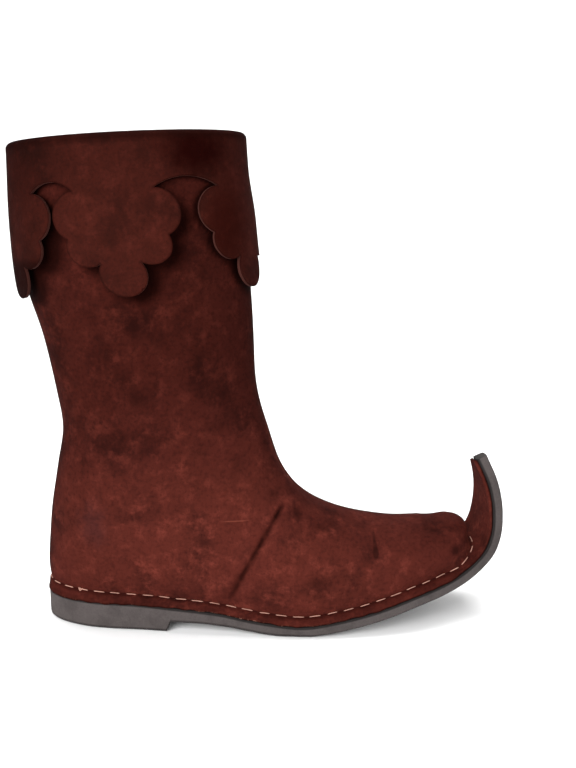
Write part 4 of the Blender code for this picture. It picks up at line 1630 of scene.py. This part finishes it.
    def lifted(self, along: Array, depth: Array) -> Array:
        """How far the front edge of a pendant curls off the shaft.

        Args:
            along: places along the collar.
            depth: depths below it.

        Returns:
            A distance for each.
        """
        middles = np.array([m + k * self.girth for m in self.pendants for k in (-1, 0, 1)])
        off = np.asarray(along)[..., None] - middles
        off = np.take_along_axis(off, np.abs(off).argmin(axis=-1)[..., None], axis=-1)[..., 0]
        return self.curl * ease(0.0, 28.0, off) * ease(18.0, 52.0, depth)

    def lay(self, along: Array, depth: Array) -> Array:
        """Lays the strip's inner face on the boot.

        Args:
            along: places along the collar.
            depth: depths below it, negative over the fold and inside.

        Returns:
            A point for each.
        """
        made = np.zeros((len(along), 3))
        at = np.interp(along % self.girth, self.arcs, np.arange(len(self.turns)))
        curled = self.lifted(along, depth)
        for i, (where, down) in enumerate(zip(at, depth)):
            first = min(int(where), len(self.turns) - 2)
            share = where - first
            column = self.columns[first] + (self.columns[first + 1] - self.columns[first]) * share
            turn = self.turns[first] + (self.turns[first + 1] - self.turns[first]) * share
            ahead = self.columns[first + 1, 0] - self.columns[first, 0]
            out = unit(np.array([ahead[1], -ahead[0], 0.0]))
            fall = lengths(column)

            def on_wall(distance: float) -> Array:
                """Point of the wall at a distance below the collar."""
                return np.array([np.interp(distance, fall, column[:, k]) for k in range(3)])

            if down >= 0:
                lean = (min(down, self.length) / self.length) ** self.lean
                made[i] = on_wall(down) + out * (self.gap + lean * self.flare(turn) + curled[i])
            elif down > -self.over:
                bend = -down / self.fold
                middle = on_wall(0.0) + out * (self.gap - self.fold)
                made[i] = middle + self.fold * (out * math.cos(bend) + np.array([0, 0, math.sin(bend)]))
            else:
                made[i] = on_wall(-down - self.over) + out * (self.gap - 2 * self.fold)
        return made

    def pattern(self) -> tuple[Array, list[Sequence[int]]]:
        """Cuts the strip flat.

        Returns:
            Its points as arc and depth, and its triangles.
        """
        columns = round(self.girth / self.net)
        edge = self.outline()
        first, depth = edge[0]
        seam = first + self.girth
        across = [first + (seam - first) * i / columns for i in range(columns + 1)]
        top = -self.over - self.lip
        folds = list(np.linspace(-self.over, 0, self.fold_steps + 1))
        levels = list(np.arange(top, -self.over, self.net)[1:]) + folds
        below = list(np.arange(self.net, self.length, self.net))
        end = levels + [d for d in below if d < depth - 1.0]
        places = [*edge, (seam, depth)]
        places += [(seam, d) for d in reversed(end)]
        places += [(x, top) for x in reversed(across)]
        places += [(first, d) for d in end]
        count = len(places)
        places += [(x, d) for d in levels + below for x in across[1:-1]]
        places += self.border(edge)
        ring = [(i, (i + 1) % count) for i in range(count)]
        flat, _, faces, *_ = delaunay_2d_cdt([Vector(place) for place in places], ring, [], 1, 0.001)
        return np.array([(p.x, p.y) for p in flat]), faces

    def build(self) -> None:
        """Cuts the flat pattern, lays it over the collar and gives it its thickness."""
        places, faces = self.pattern()
        along, depth = places.T
        laid = self.lay(along, depth)
        finishes = [CUFF_NUBUCK.build(), GUSSET.build(), CUT_EDGE.build()]
        made = mesh_piece("lobed_cuff", laid, faces, finishes, sharp=self.sharp)
        self.dress(made, along, depth, laid[:, 0])
        self.thicken(made)
        seat(made, ["cuff"])
        corners = places[np.array(faces)]

    def dress(self, made: Object, along: Array, depth: Array, x: Array) -> None:
        """Dims the strip's top, and paints shade over its back, edge, fold and hindmost tip.

        Args:
            made: the strip.
            along: places of its points along the collar.
            depth: their depths below it.
            x: their places along the boot.
        """
        # The top is dimmed; the back, turned from the light, gets painted shade.
        paint(made, "tone_and_shade", 0.3 * (1 - ease(12.0, 48.0, depth)) + 0.8 * ease(52.0, -10.0, x))
        # Painted shade along the strip's edge and its fold, and over the hindmost tip.
        edge_shade = 1 - ease(0.2, 1.2, self.inset(along, depth))
        fold = ease(3.0, 0.5, depth) * ease(-self.over, -0.3 * self.over, depth)
        tip = ease(22.0, 15.0, x) * ease(67.0, 72.0, depth)
        paint(made, "shade", np.clip(0.55 * edge_shade + 0.55 * fold + 0.85 * tip, 0.0, 0.9))

    def thicken(self, made: Object) -> None:
        """Gives the strip its thickness and rounds its edges.

        Args:
            made: the strip.
        """
        with editing(made.data) as bm:
            weld(bm, self.weld)
        shell = made.modifiers.new("Wall", "SOLIDIFY")
        shell.thickness = self.leather * MM
        shell.offset = 1.0
        shell.material_offset = Layer.BACK
        shell.material_offset_rim = Layer.EDGE
        soft = made.modifiers.new("Edge", "BEVEL")
        soft.width = self.edge_round * MM
        soft.segments = 2
        soft.limit_method = "ANGLE"
        soft.angle_limit = math.radians(55)
        soft.harden_normals = False
        settle(made)
        made.data.shade_smooth()
        made.data.set_sharp_from_angle(angle=math.radians(self.sharp))


# Point attributes of the upper: painted shade, dimming by zone (much of it painted shade), pale fibres,
# crease freedom, thickness share, and places for the cuff's painted shadow.
MARKS = ("shade", "tone_and_shade", "fleck", "free", "skive", "along", "depth")
FAR_BELOW = 999.0


@dataclass
class Upper:
    """Vamp and shaft in one piece of leather, its margin turned out and stitched down."""

    columns: int = 46
    foot_rows: int = 128
    heel_rows: int = 24
    shaft_rows: int = 86
    toe_rows: int = 8
    toe_round: float = 1.05
    weld: float = 0.00005
    margin_steps: int = 14
    margin_skive: float = 0.85
    margin_fall: float = 2.1
    margin_heel_fall: float = 1.2
    pucker: float = 0.22
    puff: float = 0.5
    unevenness: float = 0.35
    splits: tuple[tuple[float, float], ...] = ((3.2, 3.5), (1.6, 0.0))
    stitching: Stitching = field(default_factory=Stitching)
    lacing: Lacing = field(default_factory=Lacing)
    cuff: Cuff = field(default_factory=Cuff)

    def rows(self) -> Array:
        """Rows of the wall, evenly spaced along the groove and up the back.

        Returns:
            The rows, counted from the toe to the collar.
        """
        fine = np.linspace(0.0, FOOT_LAST - 1.0, 2000)
        runs = LAST.base_run(fine)
        foot = np.interp(np.linspace(runs[0], runs[-1], self.foot_rows), runs[::-1], fine[::-1])
        heel = np.linspace(FOOT_LAST - 1.0, FOOT_LAST, self.heel_rows)[1:]
        shaft = np.linspace(FOOT_LAST, COLLAR, self.shaft_rows)[1:]
        return np.concatenate([foot, heel, shaft])

    def __post_init__(self) -> None:
        """Works out the wall's rows and columns, the stitched groove and the margin's edge."""
        self.turns = np.linspace(-1, 1, 2 * self.columns + 1)
        self.levels = self.rows()
        self.on_foot = int((self.levels <= FOOT_LAST).sum())
        self.runs = LAST.base_run(self.levels[: self.on_foot])
        outer_groove, outer_edge = LAST.groove_side(self.runs, Side.OUTER)
        inner_groove, inner_edge = LAST.groove_side(self.runs, Side.INNER)
        toe_groove, toe_edge = LAST.groove_toe(self.turns)
        self.groove = np.concatenate([outer_groove[::-1], toe_groove[1:-1], inner_groove[:-1]])
        self.edge = np.concatenate([outer_edge[::-1], toe_edge[1:-1], inner_edge[:-1]])
        self.arc = lengths(self.in_groove(self.groove))

    def in_groove(self, places: Array) -> Array:
        """Points of the stitched groove at its places on the sole."""
        return SOLE_CHART.point(places[:, 0], places[:, 1], LAST.groove_rise(places[:, 0]))

    def build(self) -> None:
        """Makes the upper, its stitches and what it carries at the slit and the collar."""
        wall = LAST.wall(self.levels, self.turns)
        self.seat_ends(wall)
        self.soften(wall)
        self.make_wall(np.concatenate([self.toe_cap(wall), wall]))
        self.make_stitches()
        self.lacing.build()
        self.cuff.build()

    def seat_ends(self, wall: Array) -> None:
        """Brings the foot sections' ends onto the stitched groove.

        Args:
            wall: points of the wall, which are moved.
        """
        foot = wall[: self.on_foot]
        for side in (Side.OUTER, Side.INNER):
            groove, _ = LAST.groove_side(self.runs, side)
            shift = self.in_groove(groove) - foot[:, 0 if side is Side.OUTER else -1]
            weight = ease(0.55, 1.0, side * self.turns)
            foot += shift[:, None] * weight[None, :, None]

    def soften(self, wall: Array, reach: int = 26, rounds: int = 30) -> None:
        """Evens the rows out where the foot's sections pass into the shaft's.

        Args:
            wall: points of the wall, which are moved.
            reach: about how many rows to either side are moved.
            rounds: how often they are evened out.
        """
        weight = swell(np.arange(len(wall)), self.on_foot, reach)[1:-1, None, None]
        count = wall.shape[1]
        inside = np.minimum(np.linspace(0, 1, count), np.linspace(1, 0, count))
        hold = ease(0.0, 0.25, inside)[None, 1:-1, None]
        for _ in range(rounds):
            mean = (wall[:-2] + wall[2:]) / 2
            move = 0.5 * weight * (mean - wall[1:-1])
            move[:, [0, -1]] = 0.0
            move[:, 1:-1] *= hold
            wall[1:-1] += move

    def toe_cap(self, wall: Array) -> Array:
        """Rows of the rounded front of the toe.

        Args:
            wall: points of the wall.

        Returns:
            The rows from the groove up to the wall's first section.
        """
        groove, _ = LAST.groove_toe(self.turns)
        low, high = self.in_groove(groove), wall[0]
        chord = np.linalg.norm(high - low, axis=1)[:, None]
        start = SOLE_CHART.up(groove[:, 0]) * chord * self.toe_round
        end = unit(wall[2] - wall[0]) * chord * self.toe_round
        rows = []
        for s in np.linspace(0, 1, self.toe_rows + 1)[:-1]:
            t = 1 - s
            rise = low * (1 + 2 * s) * t * t + start * s * t * t
            rows.append(rise + high * s * s * (3 - 2 * s) - end * s * s * t)
        return np.array(rows)

    def make_wall(self, grid: Array) -> None:
        """Makes the leather itself: wall and margin, creased, given its thickness and cut for the lacing.

        Args:
            grid: points of the toe and the wall, by rows and columns.
        """
        count, columns = grid.shape[:2]
        start = self.toe_rows
        index = np.arange(count * columns).reshape(count, columns)
        last = start + self.on_foot - 1
        index[last + 1 :, -1] = index[last + 1 :, 0]
        index[last, -1] = index[last, 0]
        points = list(grid.reshape(-1, 3))
        steps = np.linalg.norm(np.diff(grid, axis=0), axis=2)[::-1]
        depth = np.vstack([np.zeros(columns), np.cumsum(steps, axis=0)])[::-1]
        along = np.broadcast_to(np.interp(self.turns, self.cuff.turns, self.cuff.arcs), depth.shape)
        free_columns = ease(0.0, 0.05, 1 - np.abs(self.turns))
        free = free_columns[None, :] * ease(0.0, 0.7 * start, np.arange(count))[:, None]
        marks = [(0.0, 0.0, 0.0, f, 1.0, a, d) for f, a, d in zip(free.ravel(), along.ravel(), depth.ravel())]
        faces = []
        for r in range(count - 1):
            for c in range(columns - 1):
                corners = (index[r, c], index[r, c + 1], index[r + 1, c + 1], index[r + 1, c])
                faces.append(tuple(dict.fromkeys(int(i) for i in corners)))

        loop = list(index[start : last + 1, 0][::-1]) + list(index[0, 1:-1]) + list(index[start:last, -1])
        for c in (0, columns - 1):
            for r in range(1, start):
                corners = (index[0, c], index[r, c], index[r + 1, c])
                faces.append(tuple(dict.fromkeys(int(i) for i in corners)))
        previous = loop
        for ring, mark in self.margin_rings():
            current = list(range(len(points), len(points) + len(ring)))
            points += list(ring)
            marks += list(mark)
            for i in range(len(ring)):
                j = (i + 1) % len(ring)
                corners = (previous[i], previous[j], current[j], current[i])
                faces.append(tuple(dict.fromkeys(int(k) for k in corners)))
            previous = current
        faces = [face for face in faces if len(face) > 2]

        finishes = [NUBUCK.build(), LINING.build()]
        made = mesh_piece("nubuck_upper", np.array(points), faces, finishes, sharp=70)
        for name, values in zip(MARKS, np.array(marks).T):
            paint(made, name, values)
        self.clean(made)
        self.refine(made)
        self.work(made)
        self.thicken(made)
        seat(made, ["upper"])

    def thicken(self, made: Object) -> None:
        """Gives the leather its thickness, thinner along the margin's edge, and cuts the slit and the holes.

        Args:
            made: the upper.
        """
        thickness = made.vertex_groups.new(name="thickness")
        for number, share in enumerate(painted(made, "skive")):
            thickness.add([number], float(share), "REPLACE")
        shell = made.modifiers.new("Wall", "SOLIDIFY")
        shell.thickness = LAST.leather * MM
        shell.offset = -1.0
        shell.vertex_group = thickness.name
        shell.material_offset = Layer.BACK
        cutter = self.lacing.cutter()
        cut = made.modifiers.new("Lacing", "BOOLEAN")
        cut.operation = "DIFFERENCE"
        cut.solver = "EXACT"
        cut.object = cutter
        settle(made)
        bpy.data.objects.remove(cutter)

    def margin_rings(self) -> Iterable[tuple[Array, Iterable[tuple[float, ...]]]]:
        """Rings of the margin from the groove outwards and down over the sole's edge.

        Yields:
            Each ring's points, with each point's marks in the order of MARKS.
        """
        groove, edge, arc = self.groove, self.edge, self.arc
        full, none = np.ones(len(groove)), np.zeros(len(groove))
        far = FAR_BELOW * full
        reach = np.linalg.norm(edge - groove, axis=1)
        gathered = self.pucker * np.cos(2 * np.pi * self.stitching.phase(arc))
        for share in np.linspace(0, 1, self.margin_steps + 1)[1:]:
            at = groove + (edge - groove) * share
            away = share * reach
            puff = self.puff * swell(away, 3.0, 1.6) * float(ease(1.0, 0.8, share))
            rise = LAST.margin_rise(groove[:, 0], away) + gathered * swell(away, 2.0, 1.6) + puff
            # Painted shade in the groove along the stitches.
            dark = 0.35 * swell(away, 0.5, 0.8)
            skive = full * (1 - self.margin_skive * float(ease(0.55, 1.0, share)))
            marks = (dark, 0.22 * full, none, none, skive, none, far)
            yield SOLE_CHART.point(at[:, 0], at[:, 1], rise), zip(*marks)
        x = edge[:, 0]
        fall = self.margin_fall + self.margin_heel_fall * ease(110.0, 50.0, x)
        out = unit(edge - groove) * ease(0.0, 25.0, SOLE_CHART.tip - x)[:, None]
        ragged = 0.35 * np.sin(arc / 7.3) * np.sin(arc / 2.9 + 1.0) + 0.25 * np.sin(arc / 1.7)
        waist = ease(80.0, 110.0, x) * ease(190.0, 150.0, x)
        behind = ease(235.0, 205.0, x)
        thin = (1 - self.margin_skive) * full
        for step, share in ((0.45, 0.12), (0.85, 0.4), (0.95, 0.65), (0.95, 0.85), (0.95, 1.0)):
            at = edge + out * step
            low = LAST.margin_low - share * fall - ragged * float(ease(0.4, 1.0, share))
            # The turned-down part is painted darker towards its lower edge, and dimmed.
            dark = full * (0.12 + 0.73 * float(ease(0.5, 1.0, share)))
            fleck = (0.15 + 0.85 * waist) * behind * float(ease(0.5, 0.9, share))
            marks = (dark, 0.3 * full, fleck, none, thin, none, far)
            yield SOLE_CHART.point(at[:, 0], at[:, 1], low), zip(*marks)

    def refine(self, made: Object, sharp: float = 2.0) -> None:
        """Splits the faces along the narrow creases and the cuff's edge, so that they hold both.

        Args:
            made: the upper, before it has its thickness.
            sharp: creases narrower than this count as narrow.
        """
        with editing(made.data) as bm:
            for reach, beside in self.splits:
                bm.verts.index_update()
                places = millimetres([v.co for v in bm.verts])
                layers = [bm.verts.layers.float[name] for name in ("along", "depth")]
                along, depth = np.array([[v[layer] for layer in layers] for v in bm.verts]).T
                close = (depth < self.cuff.length + 15.0) & (along > 6.0) & (along < self.cuff.girth - 12.0)
                close[close] = np.abs(self.cuff.inset(along[close], depth[close])) < beside
                for crease in CREASES:
                    if crease.width < sharp:
                        close |= (crease.away(places) < reach * crease.width) & (crease.within(places) > 0)
                split = [e for e in bm.edges if any(close[v.index] for f in e.link_faces for v in f.verts)]
                bmesh.ops.subdivide_edges(bm, edges=split, cuts=1, use_grid_fill=True)

    def work(self, made: Object) -> None:
        """Presses the creases in, paints shade into them and the cuff's shadow on the shaft, and dims the
        leather.

        Args:
            made: the upper, before it has its thickness.
        """
        places = millimetres([v.co for v in made.data.vertices])
        normals = np.array([v.normal for v in made.data.vertices])
        free = painted(made, "free")
        push = sum(crease.push(places) for crease in CREASES) + self.unevenness * waver(places, 74.0)
        made.data.vertices.foreach_set("co", metres(places + normals * (push * free)[:, None]).ravel())
        # Painted shade in the creases' troughs, and the cuff's painted shadow on the shaft.
        dark = sum(crease.shade(places) for crease in CREASES) * free
        dark += self.cuff.shadow(painted(made, "along"), painted(made, "depth"))
        paint(made, "shade", np.clip(painted(made, "shade") + dark, 0.0, 1.0))
        paint(made, "tone_and_shade", np.clip(painted(made, "tone_and_shade") + self.tone_and_shade(places, normals), 0.0, 1.0))
        made.data.update()

    def tone_and_shade(self, places: Array, normals: Array) -> Array:
        """Dimming of the leather: up the shaft, and painted shade at the back, vamp top, back-turned faces
        and toe.

        Args:
            places: points of the leather.
            normals: its direction at each.

        Returns:
            A value for each, not yet kept between 0 and 1.
        """
        x, _, z = places.T
        shaft = ease(50.0, 195.0, z)
        # Painted shade from the back to the toe; the curl term is painted light, taken off the dimming.
        back = 0.30 * ease(90.0, 15.0, x)
        top = 0.35 * ease(0.35, 0.8, normals[:, 2]) * ease(150.0, 190.0, x)
        turned = 0.5 * ease(0.75, 0.98, -normals[:, 0])
        toe = 0.28 * ease(215.0, 275.0, x)
        curl = 0.75 * ease(286.0, 298.0, x) * ease(40.0, 58.0, z)
        return shaft + back + top + turned + toe - curl

    def clean(self, made: Object) -> None:
        """Merges coinciding points, turns the faces out and drops loose points.

        Args:
            made: the upper, before it has its thickness.
        """
        with editing(made.data) as bm:
            weld(bm, self.weld)
            loose = [v for v in bm.verts if not v.link_faces]
            bmesh.ops.delete(bm, geom=loose, context="VERTS")

    def make_stitches(self) -> None:
        """Lays the thread in the groove."""
        groove, edge = self.groove, self.edge
        reach = np.linalg.norm(edge - groove, axis=1)
        share = np.minimum(self.stitching.share * LAST.margin / np.maximum(reach, 1e-6), 0.5)
        at = groove + (edge - groove) * share[:, None]
        line = SOLE_CHART.point(at[:, 0], at[:, 1], LAST.margin_rise(groove[:, 0], share * reach))
        inner, outer = (SOLE_CHART.point(places[:, 0], places[:, 1], 0.0) for places in (groove, edge))
        up = unit(SOLE_CHART.up(at[:, 0]) + 0.9 * unit(outer - inner))
        keep = np.concatenate([[True], np.linalg.norm(np.diff(line, axis=0), axis=1) > 0.05])
        line, up = line[keep], up[keep]
        self.stitching.build(np.vstack([line, line[:1]]), np.vstack([up, up[:1]]), THREAD.build())

# Sole


@dataclass
class Outsole:
    """One-piece rubber sole with a low heel, an arched waist and the toe curled up."""

    tread_round: float = 3.0
    round_steps: int = 5
    top_round: float = 0.7
    shade_band: float = 1.2
    shade_fade: float = 0.8
    breast: tuple[float, float] = (86.0, 89.4)
    heel_stations: int = 36
    waist_stations: int = 12
    breast_stations: int = 10
    ball_stations: int = 50
    curl_stations: int = 90

    def under(self, run: Array) -> Array:
        """Height of the tread, rounded at the back of the heel."""
        back = np.clip(1 - run / self.tread_round, 0.0, 1.0)
        return np.interp(run, UNDER["x"], UNDER["z"]) + self.tread_round * (1 - np.sqrt(1 - back**2))

    def profile(self, half: float, thickness: float, lift: float) -> list[tuple[float, float]]:
        """One side of a section, from its top to its bottom.

        Args:
            half: half width of the section.
            thickness: its height.
            lift: height of the rounding below.

        Returns:
            Its points as distances across and above the sole's top.
        """
        tuck = min(self.tread_round, half / 2)
        points = [(half - self.top_round, 0.0)]
        bends = [math.pi / 2 * step / self.round_steps for step in range(self.round_steps + 1)]
        for angle in bends[1:]:
            across = half - self.top_round * (1 - math.sin(angle))
            points.append((across, -self.top_round * (1 - math.cos(angle))))
        points += [(half, -self.shade_band), (half, -self.shade_band - self.shade_fade)]
        for angle in bends:
            points.append((half - tuck * (1 - math.cos(angle)), lift - thickness - lift * math.sin(angle)))
        return points

    def stops(self) -> Array:
        """Places of the sections along the sole, closest at the heel and its breast.

        Returns:
            Distances along the sole.
        """
        back, front, end = SOLE_CHART.heel_round, self.breast[0], SOLE_CHART.forefoot_end
        heel = back * (1 - np.cos(np.radians(np.linspace(2, 90, self.heel_stations))))
        waist = np.linspace(back, front - 0.6, self.waist_stations)[1:]
        breast = np.linspace(*self.breast, self.breast_stations)
        ball = np.linspace(90, end, self.ball_stations)
        curl = np.linspace(end, SOLE_CHART.tip, self.curl_stations)[1:]
        return np.concatenate([heel, waist, breast, ball, curl])

    def build(self) -> None:
        """Makes the sole, with painted shade in a band under the margin and along its bottom edge."""
        end = SOLE_CHART.forefoot_end
        sections = []
        for run in self.stops():
            centre = SOLE_CHART.centre(run)
            on_floor = run <= end
            thickness = float(centre[2] - self.under(run)) if on_floor else SOLE_CHART.forefoot_thickness
            lift = self.tread_round * (1 - 0.5 * float(ease(end - 6, end + 14, run)))
            outer = self.profile(float(SOLE_CHART.half(run, Side.OUTER)), thickness, lift)
            inner = self.profile(float(SOLE_CHART.half(run, Side.INNER)), thickness, lift)
            ring = [(-a, r) for a, r in outer] + [(a, r) for a, r in inner[::-1]]
            if on_floor:
                sections.append([centre + np.array([0, a, r]) for a, r in ring])
            else:
                sections.append([SOLE_CHART.point(run, a, r) for a, r in ring])
        made = loft_piece("rubber_sole", np.array(sections), [RUBBER.build()], sharp=40)
        # Painted shade: a dark band at the top of the side, under the margin, and a lighter one round the
        # bottom edge.
        half = [0.9] * (self.round_steps + 2) + [0.0, 0.0] + [0.55] * self.round_steps
        shade = np.tile(half + half[::-1], (len(sections), 1))
        shade[0] *= 0.1
        paint(made, "shade", shade.ravel())
        seat(made, ["outsole"])


@dataclass
class Insole:
    """Leather insole inside the stitched groove."""

    inset: float = 6.8
    heel_inset: float = 5.0
    thickness: float = 2.4
    gap: float = 0.3
    toe: float = 299.0
    end_half: float = 0.5
    start: float = 0.06
    stations: int = 90
    across: int = 14

    def build(self) -> None:
        """Makes the insole."""
        turn = np.linspace(self.start, 1.0, self.stations)
        runs = self.heel_inset + (self.toe - self.heel_inset) * (1 - np.cos(np.pi * turn)) / 2
        sections = []
        for run in runs:
            toe = max(0.0, (run - LAST.toe_side) / (self.toe - LAST.toe_side))
            narrow = math.sqrt(max(0.0, 1 - toe**2))
            left, right = (
                max(float(SOLE_CHART.half(run, side, self.inset, self.heel_inset)) * narrow, self.end_half)
                for side in (Side.OUTER, Side.INNER)
            )
            shares = np.linspace(-1, 1, self.across)
            across = np.where(shares < 0, shares * left, shares * right)
            top = self.gap + self.thickness - 0.35 * np.abs(shares) ** 6
            upper = SOLE_CHART.point(run, across, top)
            lower = SOLE_CHART.point(run, across[::-1], self.gap)
            sections.append(np.concatenate([upper, lower]))
        seat(loft_piece("insole_leaf", np.array(sections), [INSOLE.build()]), ["insole"])


# Studio


class Lamp(Enum):
    """Soft lights of the studio: place, aim, size and power in watts."""

    KEY = ((-0.62, -1.3, 0.75), (0.09, 0.0, 0.13), 1.3, 47.0)
    FILL = ((1.1, -1.25, 0.3), (0.12, 0.0, 0.1), 1.4, 13.0)
    TOP = ((0.1, 0.5, 1.7), (0.09, 0.0, 0.13), 1.0, 10.0)
    BACK = ((0.1, 0.7, 2.9), (0.1, 2.4, 0.9), 2.4, 120.0)


@dataclass
class Studio:
    """Camera, soft light and a pale sweep of floor."""

    eye: Place = (0.1272, -0.598, 0.2735)
    pitch: float = 10.6
    lens: float = 42.19
    sky: float = 0.06

    def build(self) -> None:
        """Sets the studio up."""
        scene = bpy.context.scene
        scene.view_settings.view_transform = "Standard"
        camera = bpy.data.cameras.new("camera")
        camera.lens = self.lens
        camera.clip_start = 0.01
        made = bpy.data.objects.new("camera", camera)
        made.location = self.eye
        made.rotation_euler = (math.radians(90 - self.pitch), 0.0, 0.0)
        scene.collection.objects.link(made)
        scene.camera = made
        for lamp in Lamp:
            self.light(lamp)
        world = bpy.data.worlds.new("studio")
        world.use_nodes = True
        world.node_tree.nodes["Background"].inputs["Color"].default_value = (1.0, 1.0, 1.0, 1.0)
        world.node_tree.nodes["Background"].inputs["Strength"].default_value = self.sky
        scene.world = world
        self.floor()

    def light(self, lamp: Lamp) -> None:
        """Adds one area light aimed at the boot.

        Args:
            lamp: which one.
        """
        place, aim, size, power = lamp.value
        data = bpy.data.lights.new(lamp.name.lower(), "AREA")
        data.energy = power
        data.size = size
        made = bpy.data.objects.new(lamp.name.lower(), data)
        made.location = place
        made.rotation_euler = (Vector(aim) - Vector(place)).to_track_quat("-Z", "Y").to_euler()
        made.visible_camera = False
        bpy.context.scene.collection.objects.link(made)

    def floor(self) -> None:
        """Adds the floor, swept up behind."""
        bend, back = 0.8, 1.6
        profile = [(-4.0, 0.0), (back, 0.0)]
        for angle in np.linspace(0.1, math.pi / 2, 16):
            profile.append((back + bend * math.sin(angle), bend - bend * math.cos(angle)))
        profile.append((back + bend, 4.0))
        points = [(x, y, z - 0.0002) for y, z in profile for x in (-5.0, 5.0)]
        mesh = bpy.data.meshes.new("floor")
        mesh.from_pydata(points, [], grid_faces(len(profile), 2))
        mesh.shade_smooth()
        finish, graph, shader = new_material("floor")
        shade = graph.ramp(graph.noise(graph.place(), 3.0), 0.3, 0.7)
        graph.feed(shader, "Base Color", graph.mix(shade, (0.90, 0.90, 0.90), (0.93, 0.93, 0.93)))
        graph.feed(shader, "Roughness", 0.9)
        graph.feed(shader, "Specular IOR Level", 0.1)
        mesh.materials.append(finish)
        made = bpy.data.objects.new("floor", mesh)
        bpy.context.scene.collection.objects.link(made)


def main() -> None:
    """Builds the boot piece by piece, then the studio."""
    logging.basicConfig(level=logging.INFO, format="%(message)s")
    for piece in (Outsole(), Insole(), Upper()):
        LOG.info("building %s", type(piece).__name__.lower())
        piece.build()
    Studio().build()


if __name__ == "__main__":
    main()
